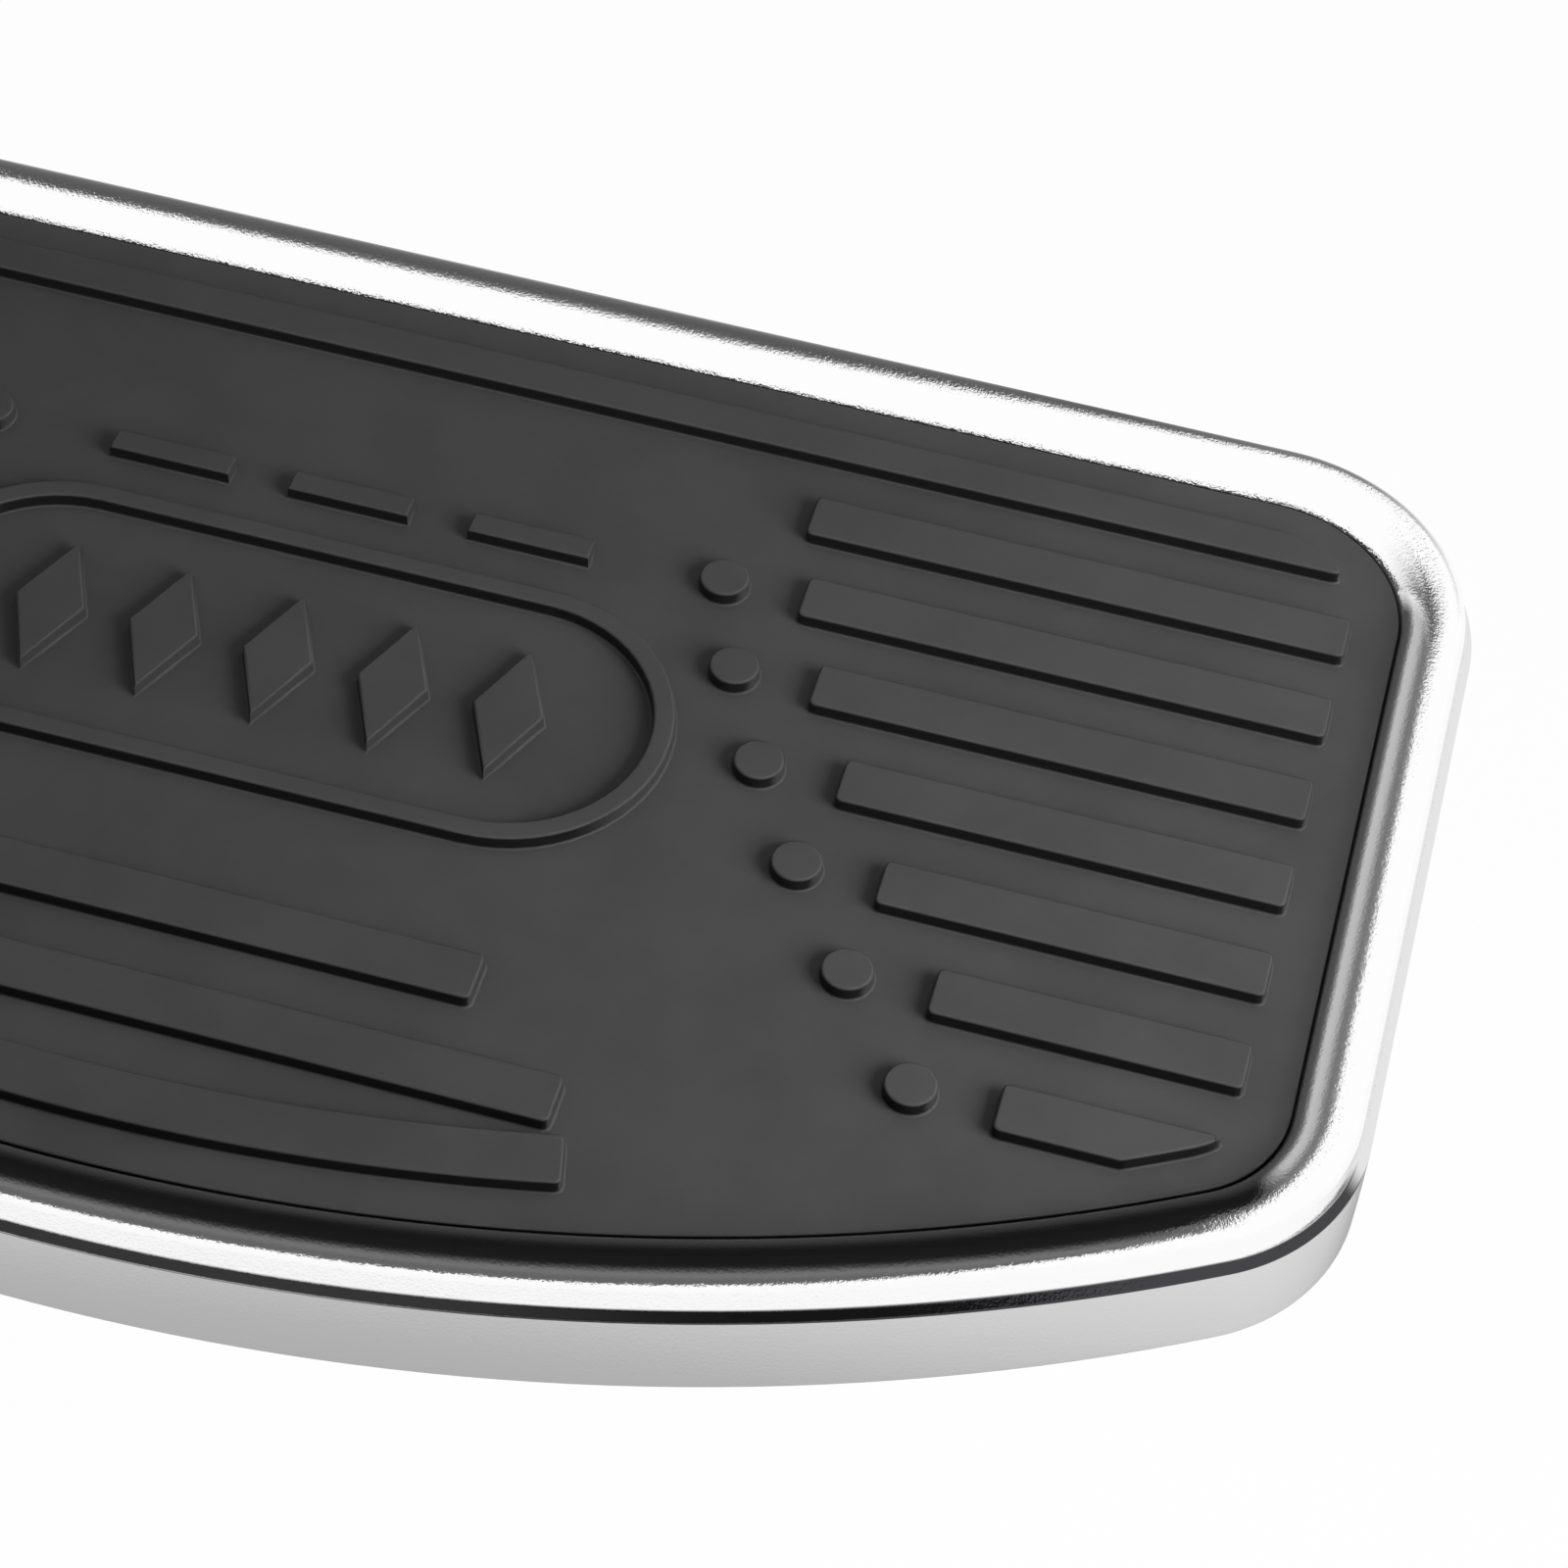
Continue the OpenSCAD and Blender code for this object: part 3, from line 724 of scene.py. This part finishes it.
shelf_y = 0.15 - SHELF_END
shelf = rounded([(shelf_x, shelf_y, 1), (shelf_x, -9, 1), (-shelf_x, -9, 1), (-shelf_x, shelf_y, 1)], 3)
screw_holes = [circle_points(x * STOP_X, -STOP_REACH, STOP_SCREW_R + 0.05, 360, 10, 35) for x in (-1, 1)]
bracket.prism([shelf, *screw_holes], SHELF_TOP - SHELF_T + 0.1, SHELF_TOP - 0.1, 0.8)
bracket.place(start, PIVOT_PLACE)
bracket.made("steel_bracket", black_paint, "mount_bracket", "bracket", "black_paint")


# Pivot pins and retaining rings
# Each hinge pin is turned from steel with a flat head on the outside of the lug, and an
# open spring ring sits in a groove at its other end. All of it is zinc-plated.
PIN_HEAD_R = 6.5
PIN_HEAD_T = 2.5
PIN_END = 10.4
RING_IN = 12.9
RING_T = 1.0
GROOVE_R = 3.1
LUG_OUT = 39.1
SEAT_GAP = 0.1

steel = Finish("zinc_plated_steel", Metallic=1.0)
tarnish = steel.noise(7, 5, 0.6).between(0.35, 0.75)
steel.drive("Base Color", steel.blend(tarnish, (0.62, 0.62, 0.6), (0.45, 0.44, 0.41)))
steel.drive("Roughness", 0.24 + 0.16 * steel.noise(2.2, 4) + 0.08 * tarnish)
steel.bump(steel.noise(0.5, 3), 0.012)

HEAD_AT = LUG_OUT + SEAT_GAP
pin_profile = rounded(
    [
        (0.5, PIN_END, 0),
        (PIN_R, PIN_END, 0.6),
        (PIN_R, RING_IN - SEAT_GAP / 2, 0.1),
        (GROOVE_R, RING_IN - SEAT_GAP / 2, 0.1),
        (GROOVE_R, RING_IN + RING_T + SEAT_GAP / 2, 0.1),
        (PIN_R, RING_IN + RING_T + SEAT_GAP / 2, 0.1),
        (PIN_R, HEAD_AT, 0.15),
        (PIN_HEAD_R, HEAD_AT, 0.2),
        (PIN_HEAD_R, HEAD_AT + PIN_HEAD_T, 0.7),
        (1.2, HEAD_AT + PIN_HEAD_T, 0.2),
        (0.5, HEAD_AT + PIN_HEAD_T - 0.5, 0),
    ],
    4,
)


def ring_outline():
    """An open spring ring seen along the pin: a band with three prongs and a mouth."""
    mouth_at = 60
    outer = PIN_R + 3.2
    hollow = PIN_R + 0.9
    touch = GROOVE_R + 0.05
    half_mouth = 3.2
    points = []
    a = math.degrees(math.asin(half_mouth / outer))
    points += circle_points(0, 0, outer, mouth_at + a, mouth_at + 360 - a, 60)
    b = math.degrees(math.asin(half_mouth / hollow))
    prong = math.degrees(math.asin(1.4 / hollow))
    tip = math.degrees(math.asin(1.4 / touch))
    at = mouth_at + 360 - b
    for prong_at in (360, 240, 120):
        points += circle_points(0, 0, hollow, at, prong_at + prong, 10)
        points += circle_points(0, 0, touch, prong_at + tip, prong_at - tip, 6)
        at = prong_at - prong
    points += circle_points(0, 0, hollow, at, mouth_at + b, 10)
    return points


def on_both_sides(name, node, body, slot, finish, build):
    """Makes the right-hand piece along the hinge axis, and the left-hand one as its mirror."""
    for side, matrix in (("right", Matrix()), ("left", MIRRORED)):
        piece = Shape()
        build(piece)
        piece.place(0, matrix @ PIVOT_PLACE)
        piece.made(f"{name}_{side}", finish, f"{node}_{side}", body, slot)


def build_pin(piece):
    piece.turned(pin_profile)
    piece.place(0, ALONG_X)


def build_retaining_ring(piece):
    piece.prism([spaced(ring_outline(), 0.05)], RING_IN, RING_IN + RING_T, 0.15)
    piece.place(0, ALONG_X)


on_both_sides("hinge_pin", "pivot_pin", "board", "steel", steel, build_pin)
on_both_sides("spring_ring", "retaining_ring", "board", "steel", steel, build_retaining_ring)


# Bushes and washers
# Flanged bronze bushes are pressed into both ends of each ear's eye. A dished spring washer
# keeps the lug off the outer flange, and a plain washer lies between the inner one and the ring.
FLANGE_T = 1.0
FLANGE_R = 8.55
WASHER_T = 1.0
EAR_OUT = EAR_IN + EAR_T
PIN_HOLE_R = PIN_R + 0.05

bronze = Finish("bearing_bronze", Metallic=1.0)
bronze.drive("Base Color", bronze.blend(bronze.noise(4, 4), (0.50, 0.33, 0.15), (0.68, 0.48, 0.25)))
bronze.drive("Roughness", 0.3 + 0.18 * bronze.noise(2, 4))
bronze.bump(bronze.noise(0.5, 3), 0.015)


def build_bush(piece, flange_low, sleeve_low, sleeve_high):
    flange_high = flange_low + FLANGE_T
    sleeve_r = BUSH_R - 0.02
    if sleeve_low < flange_low:
        low, high = sleeve_low, flange_high
        step = [(sleeve_r, low, 0.3), (sleeve_r, flange_low, 0.1)]
        step += [(FLANGE_R, flange_low, 0.25), (FLANGE_R, high, 0.25)]
    else:
        low, high = flange_low, sleeve_high
        step = [(FLANGE_R, low, 0.25), (FLANGE_R, flange_high, 0.25)]
        step += [(sleeve_r, flange_high, 0.1), (sleeve_r, high, 0.3)]
    piece.turned(rounded([(PIN_HOLE_R, low, 0.2), *step, (PIN_HOLE_R, high, 0.2)], 3), ring=True)
    piece.place(0, ALONG_X)


def build_outer_bush(piece):
    build_bush(piece, EAR_OUT, EAR_OUT - EAR_T / 2 + 0.5, EAR_OUT + FLANGE_T)


def build_inner_bush(piece):
    build_bush(piece, EAR_IN - FLANGE_T, EAR_IN, EAR_IN + EAR_T / 2 - 0.5)


def build_spring_washer(piece):
    low = EAR_OUT + FLANGE_T
    dish = [(PIN_R + 0.3, low), (FLANGE_R, low + 0.5), (FLANGE_R, low + 1), (PIN_R + 0.3, low + 0.5)]
    piece.turned(rounded([(r, z, 0.12) for r, z in dish], 3), ring=True)
    piece.place(0, ALONG_X)


def build_thrust_washer(piece):
    high = EAR_IN - FLANGE_T
    low = high - WASHER_T
    flat = [(PIN_R + 0.2, low), (FLANGE_R, low), (FLANGE_R, high), (PIN_R + 0.2, high)]
    piece.turned(rounded([(r, z, 0.2) for r, z in flat], 3), ring=True)
    piece.place(0, ALONG_X)


on_both_sides("bronze_outer_bush", "outer_bush", "bracket", "bronze", bronze, build_outer_bush)
on_both_sides("bronze_inner_bush", "inner_bush", "bracket", "bronze", bronze, build_inner_bush)
on_both_sides("dished_washer", "spring_washer", "board", "steel", steel, build_spring_washer)
on_both_sides("plain_washer", "thrust_washer", "board", "steel", steel, build_thrust_washer)


# Down stops
# A hexagon screw with a jam nut stands in each end of the shelf, and a rubber bumper
# plugged into the tray's boss lands on its head.
HEX_R = 5.77
SCREW_HEAD_H = 4.0
NUT_H = 3.2
BUMPER_T = 4.0
BUMPER_R = 6.5
STOP_GAP = 0.2
THREAD_PITCH = 1.0
THREAD_DEPTH = 0.3


def hexagon(piece, low, high, chamfer_low, chamfer_high, hole=None):
    """A hexagon across an upright axis, with its corners turned off at the given ends."""
    def ring(z, limit):
        points = []
        for k in range(72):
            a = math.radians(k * 5)
            flat = HEX_R * math.cos(math.pi / 6) / math.cos((a % (math.pi / 3)) - math.pi / 6)
            r = min(flat, limit)
            points.append((r * math.cos(a), r * math.sin(a), z))
        return piece.add(points)

    turned_r = HEX_R * 0.88
    rings = []
    if chamfer_low:
        rings += [ring(low, turned_r), ring(low + 0.35, HEX_R * 0.95), ring(low + 0.75, HEX_R + 1)]
    else:
        rings += [ring(low, HEX_R + 1)]
    if chamfer_high:
        rings += [ring(high - 0.75, HEX_R + 1), ring(high - 0.35, HEX_R * 0.95), ring(high, turned_r)]
    else:
        rings += [ring(high, HEX_R + 1)]
    for a, b in zip(rings, rings[1:]):
        piece.bridge(a, b)
    if hole is None:
        piece.fill(rings[0])
        piece.fill(rings[-1])
        return
    points = circle_points(0, 0, hole, 0, 355, 71)
    bore = [piece.add([(*p, z) for p in points]) for z in (low, high)]
    piece.bridge(rings[0], bore[0])
    piece.bridge(bore[0], bore[1])
    piece.bridge(bore[1], rings[-1])


def build_screw(piece):
    head_z = STOP_FACE - BUMPER_T - STOP_GAP - SCREW_HEAD_H
    tail_z = SHELF_TOP - SHELF_T - 3
    hexagon(piece, head_z, head_z + SCREW_HEAD_H, False, True)
    thread = [(0.4, tail_z), (STOP_SCREW_R - 0.9, tail_z), (STOP_SCREW_R - THREAD_DEPTH, tail_z + 0.6)]
    turns = int((head_z - tail_z - 1.2) / THREAD_PITCH)
    for k in range(turns):
        z = tail_z + 0.6 + k * THREAD_PITCH
        thread += [(STOP_SCREW_R, z + 0.4 * THREAD_PITCH), (STOP_SCREW_R, z + 0.6 * THREAD_PITCH)]
        thread += [(STOP_SCREW_R - THREAD_DEPTH, z + THREAD_PITCH)]
    thread += [(STOP_SCREW_R - THREAD_DEPTH, head_z + 0.2), (0.4, head_z + 0.2)]
    piece.turned(thread, steps=36)
    piece.place(0, Matrix.Translation((STOP_X, -STOP_REACH, 0)))


def build_nut(piece):
    hexagon(piece, SHELF_TOP, SHELF_TOP + NUT_H, False, True, STOP_SCREW_R + 0.05)
    piece.place(0, Matrix.Translation((STOP_X, -STOP_REACH, 0)))


def build_bumper(piece):
    low = STOP_FACE - BUMPER_T
    stem_r = 2.5
    stem_top = STOP_FACE + 3.8
    outline = [(0.4, low, 0), (BUMPER_R - 0.6, low, 1.2), (BUMPER_R, STOP_FACE, 0.3)]
    outline += [(stem_r, STOP_FACE, 0), (stem_r, stem_top, 0.6), (0.4, stem_top, 0)]
    piece.turned(rounded(outline, 5))
    piece.place(0, Matrix.Translation((STOP_X, -STOP_REACH, 0)))


on_both_sides("stop_screw_hex", "stop_screw", "bracket", "steel", steel, build_screw)
on_both_sides("jam_nut_hex", "jam_nut", "bracket", "steel", steel, build_nut)
on_both_sides("stop_bumper_rubber", "stop_bumper", "board", "rubber", rubber, build_bumper)


# Floor, cards and light
# White paper floor and backdrop. The chrome needs something to reflect: cards stand round the
# object that only its reflections see, dark behind it and overhead, grey low down.
FLOOR_Z = -250.0
FLOOR_HALF = 6000.0
PAPER_GLOW = 0.97
EYE = Vector((0.0, -0.09, 0.066))

paper = Finish("paper_floor", Base_Color=(0.96, 0.96, 0.96, 1), Roughness=0.9)
seen = paper.node("ShaderNodeLightPath", {}, {}, "Is Camera Ray")
for kind in ("Is Glossy Ray", "Is Transmission Ray"):
    seen = seen.math("MAXIMUM", seen, paper.node("ShaderNodeLightPath", {}, {}, kind))
glow = paper.node("ShaderNodeEmission", {}, {"Strength": 1.0})
lit = Value(paper, paper.shader.outputs[0])
both = paper.node("ShaderNodeMixShader", {}, {0: seen * PAPER_GLOW, 1: lit, 2: glow})
paper.tree.links.new(both.socket, paper.tree.nodes["Material Output"].inputs[0])

floor_mesh = bpy.data.meshes.new("floor")
floor_corners = ((-1, -1), (1, -1), (1, 1), (-1, 1))
floor_corners = [(x * FLOOR_HALF, y * FLOOR_HALF, FLOOR_Z) for x, y in floor_corners]
floor_mesh.from_pydata([Vector(p) * MM for p in floor_corners], [], [(0, 1, 2, 3)])
floor_mesh.materials.append(paper.material)
floor = bpy.data.objects.new("floor", floor_mesh)
bpy.context.collection.objects.link(floor)


def card(name, rows, shades):
    """A card that only reflections see. Rows of points run along it, with a shade each."""
    mesh = bpy.data.meshes.new(name)
    width = len(rows[0])
    faces = [
        (r * width + c, r * width + c + 1, (r + 1) * width + c + 1, (r + 1) * width + c)
        for r in range(len(rows) - 1)
        for c in range(width - 1)
    ]
    mesh.from_pydata([p for row in rows for p in row], [], faces)
    shade = mesh.attributes.new("shade", "FLOAT", "POINT")
    shade.data.foreach_set("value", [value for row in shades for value in row])
    finish = Finish(name)
    value = finish.node("ShaderNodeAttribute", {"attribute_name": "shade"}, {}, "Fac")
    glow = finish.node("ShaderNodeEmission", {}, {"Strength": value})
    finish.tree.links.new(glow.socket, finish.tree.nodes["Material Output"].inputs[0])
    mesh.materials.append(finish.material)
    made = bpy.data.objects.new(name, mesh)
    bpy.context.collection.objects.link(made)
    for kind in ("camera", "diffuse", "transmission", "shadow", "volume_scatter"):
        setattr(made, "visible_" + kind, False)


def toward(azimuth, elevation, distance=1.6):
    """A point round the board, in metres; azimuth 0 is towards the motorcycle, 90 to the right."""
    a, e = math.radians(azimuth), math.radians(elevation)
    way = Vector((math.cos(e) * math.sin(a), math.cos(e) * math.cos(a), math.sin(e)))
    return EYE + way * distance


def steps(low, high, count):
    return [low + (high - low) * i / count for i in range(count + 1)]


def graded(knots, at):
    """Shades at the given places, in straight lines between knots of (place, shade)."""
    out = []
    for x in at:
        for (x0, v0), (x1, v1) in zip(knots, knots[1:]):
            if x0 <= x <= x1:
                out.append(v0 + (v1 - v0) * (x - x0) / (x1 - x0))
                break
    return out


def faded(shades, toward_white):
    """One row of shades for each elevation, lightened along the azimuth."""
    return [[f + (1 - f) * shade for f in toward_white] for shade in shades]


# A dark card bent round the far side, from the floor to overhead, turns white to the right.
rise = steps(0, 76, 30)
span = steps(-60, 40, 50)
far_by_height = [(0, 0.28), (8, 0.22), (20, 0.15), (44, 0.11), (56, 0.085), (66, 0.13)]
far_by_height += [(73, 0.2), (76, 0.5)]
far_fade = [(-60, 0), (1, 0), (4, 0.08), (8, 0.22), (15, 0.66), (23, 0.74), (33, 0.72), (40, 1)]
far_shades = faded(graded(far_by_height, rise), graded(far_fade, span))
card("far_card", [[toward(a, e) for a in span] for e in rise], far_shades)

# A second one, a little nearer, carries on to the left.
rise = steps(0, 54, 20)
span = steps(-95, -48, 20)
left_by_height = [(0, 0.3), (8, 0.35), (16, 0.26), (24, 0.12), (32, 0.18), (40, 0.35)]
left_by_height += [(46, 0.9), (54, 1)]
left_fade = [(-95, 1), (-80, 0.8), (-70, 0.65), (-62, 0.15), (-56, 0), (-48, 0)]
left_shades = faded(graded(left_by_height, rise), graded(left_fade, span))
card("left_card", [[toward(a, e, 1.55) for a in span] for e in rise], left_shades)


def over_board(height, outline, soft_edge, x_end):
    """Rows of a level card over the board, from a bent edge of (x, y) points out to one x."""
    rows = []
    for x0, y in outline:
        row = [(x, BOARD_Y + y, CREST_Z + height) for x in (x0, x0 + soft_edge, x_end)]
        rows.append([Vector(p) * MM for p in row])
    return rows


# A white card hangs level over the right-hand end, and its bent edge lights the far rim.
WHITE_CARD_H = 110
white_edge = ((125, -80), (112, -40), (60, -14), (15, -10), (15, 10), (24, 22), (38, 36), (46, 52))
white_edge += ((56, 68), (78, 85), (98, 108), (106, 135), (114, 166), (142, 250))
white_shades = [[1.0, 1.0, 1.0] if y < 15 else [0.12, 1.0, 1.0] for x, y in white_edge]
card("white_card", over_board(WHITE_CARD_H, white_edge, 10, 320), white_shades)


def heading(n):
    """The direction in which a part of the outline faces, in degrees like an azimuth."""
    return math.degrees(math.atan2(n.x, n.y)) % 360


# A dark band hangs close over the near rim and follows it. Its shade goes by the distance out
# from the outline, and it ends sooner towards the right, where white takes over.
NEAR_CARD_H = 25.0
RIGHT_SHADE = 0.13
RIGHT_END = 148
near_reach = [(0, -7), (112, -7), (128, 0), (135, 8), (150, 20), (155.7, 45), (159.7, 95)]
near_reach += [(163.7, 140), (180, 170), (360, 170)]
near_knots = [(-16, 0.02), (-11, 0.025), (-8, 0.04), (-2, 0.09), (2.5, 0.14), (8, 0.17), (15.5, 0.16)]
near_knots += [(25.5, 0.13), (43, 0.125), (87, 0.15), (180, 0.18)]
near_rings = (-16, -12, -9, -6, -3, 0, 3, 6, 9, 12, 16, 20, 25, 30, 36, 43, 52, 62, 75, 90)
near_rings += (105, 120, 140, 160, 180)
near_part = [(p, n) for p, n in around if n.y < -0.14]
near_rows = []
near_shades = []
for u, shade in zip(near_rings, graded(near_knots, near_rings)):
    row = [Vector((*(p + n * u), NEAR_CARD_H)) for p, n in near_part]
    near_rows.append([(BOARD_PLACE @ p) * MM for p in row])
    angles = [heading(n) for p, n in near_part]
    reaches = graded(near_reach, angles)
    lifted = [max(shade, RIGHT_SHADE) if angle < RIGHT_END else shade for angle in angles]
    near_shades.append([value if u <= reach else 1.0 for value, reach in zip(lifted, reaches)])
card("near_card", near_rows, near_shades)

# A low card stands behind the far side, with a row of shades at each height.
low_places = (-300, 30, 80, 110, 130)
low_shades = {
    -60: (0.62, 0.62, 0.25, 0.70, 1.0),
    -6: (0.62, 0.60, 0.22, 0.66, 1.0),
    -3.5: (0.37, 0.35, 0.19, 0.42, 0.9),
    -1.5: (0.32, 0.30, 0.14, 0.35, 0.85),
    0: (0.23, 0.22, 0.14, 0.23, 0.8),
    2: (0.16, 0.15, 0.115, 0.22, 0.8),
    6: (0.14, 0.13, 0.10, 0.22, 0.8),
}
low_rows = [[Vector((x, BOARD_Y + 6, CREST_Z + z)) * MM for x in low_places] for z in low_shades]
card("low_far_card", low_rows, list(low_shades.values()))

# A strip stands on the pad's edge all along the near and right-hand rims. It is what the rim's
# inner shoulder reflects: nearly black at the near side and light grey at the right.
STRIP_INSET = 9.3
STRIP_LOW_END = 8
strip_heights = (-2.7, -2, -1.4, -0.9, -0.2, 0.8, 2, 3.5, 5.4, 8.2, 10, 12, 18)
beside_near = (0.05, 0.045, 0.036, 0.03, 0.016, 0.009, 0.008, 0.01, 0.01, 0.011, 0.012, 0.015, 0.025)
beside_right = (0.07, 0.08, 0.2, 0.52, 0.5, 0.46, 0.27, 0.16, 0.2, 0.28, 0.8, 1.0, 1.0)
edge_part = [(p - n * STRIP_INSET, n) for p, n in around if n.y < 0.5 and (n.x > 0 or p.y < -100)]
strip_rows = []
strip_shades = []
for z, at_near, at_right in zip(strip_heights, beside_near, beside_right):
    strip_rows.append([(BOARD_PLACE @ Vector((*p, z))) * MM for p, n in edge_part])
    knots = [(0, 1), (60, 1), (72, at_right)]
    if z < STRIP_LOW_END:
        knots += [(111, at_right), (126, at_near), (360, at_near)]
    else:
        knots += [(98, at_right), (109, 0.15), (138, 0.15), (150, at_near), (360, at_near)]
    strip_shades.append(graded(knots, [heading(n) for p, n in edge_part]))
card("edge_strip", strip_rows, strip_shades)

# Rings on the floor, grey under the board as a painted shadow of it and white further out, are what the
# skirt reflects.
FLOOR_CARD_DROP = 0.3
floor_rings = [(0.13, 0.36), (0.22, 0.40), (0.265, 0.45), (0.31, 0.62)]
floor_rings += [(0.34, 0.68), (0.42, 0.97), (0.9, 0.98)]
turns = steps(0, 2 * math.pi, 64)
floor_rows = []
for r, v in floor_rings:
    ring = [Vector((r * math.sin(a), r * math.cos(a), -FLOOR_CARD_DROP)) for a in turns]
    floor_rows.append([EYE + p for p in ring])
card("floor_card", floor_rows, [[v] * len(turns) for r, v in floor_rings])

# Plain studio light: the surroundings, one softbox overhead and a small one from the right.
world = bpy.data.worlds.new("studio")
bpy.context.scene.world = world
world.use_nodes = True
AMBIENT = 0.16


class Backdrop(Finish):
    """The world's nodes, written in the same way."""

    def __init__(self, tree):
        self.tree = tree


sky = Backdrop(world.node_tree)
seen = sky.node("ShaderNodeLightPath", {}, {}, "Is Camera Ray")
for kind in ("Is Glossy Ray", "Is Transmission Ray"):
    seen = seen.math("MAXIMUM", seen, sky.node("ShaderNodeLightPath", {}, {}, kind))
backdrop = world.node_tree.nodes["Background"]
backdrop.inputs["Color"].default_value = (1, 1, 1, 1)
world.node_tree.links.new((AMBIENT + seen * (1 - AMBIENT)).socket, backdrop.inputs["Strength"])


def softbox(name, place, width, power):
    """A square lamp aimed at the board; place and width in metres, power in watts."""
    lamp = bpy.data.lights.new(name, "AREA")
    lamp.shape = "SQUARE"
    lamp.size = width
    lamp.energy = power
    made = bpy.data.objects.new(name, lamp)
    made.location = place
    made.rotation_euler = (EYE - Vector(place)).to_track_quat("-Z", "Y").to_euler()
    made.visible_glossy = False
    bpy.context.collection.objects.link(made)


softbox("overhead_softbox", (0.1, 0.35, 1.1), 0.9, 1.7)
softbox("side_softbox", (0.37, -0.2, 0.23), 0.25, 2.95)
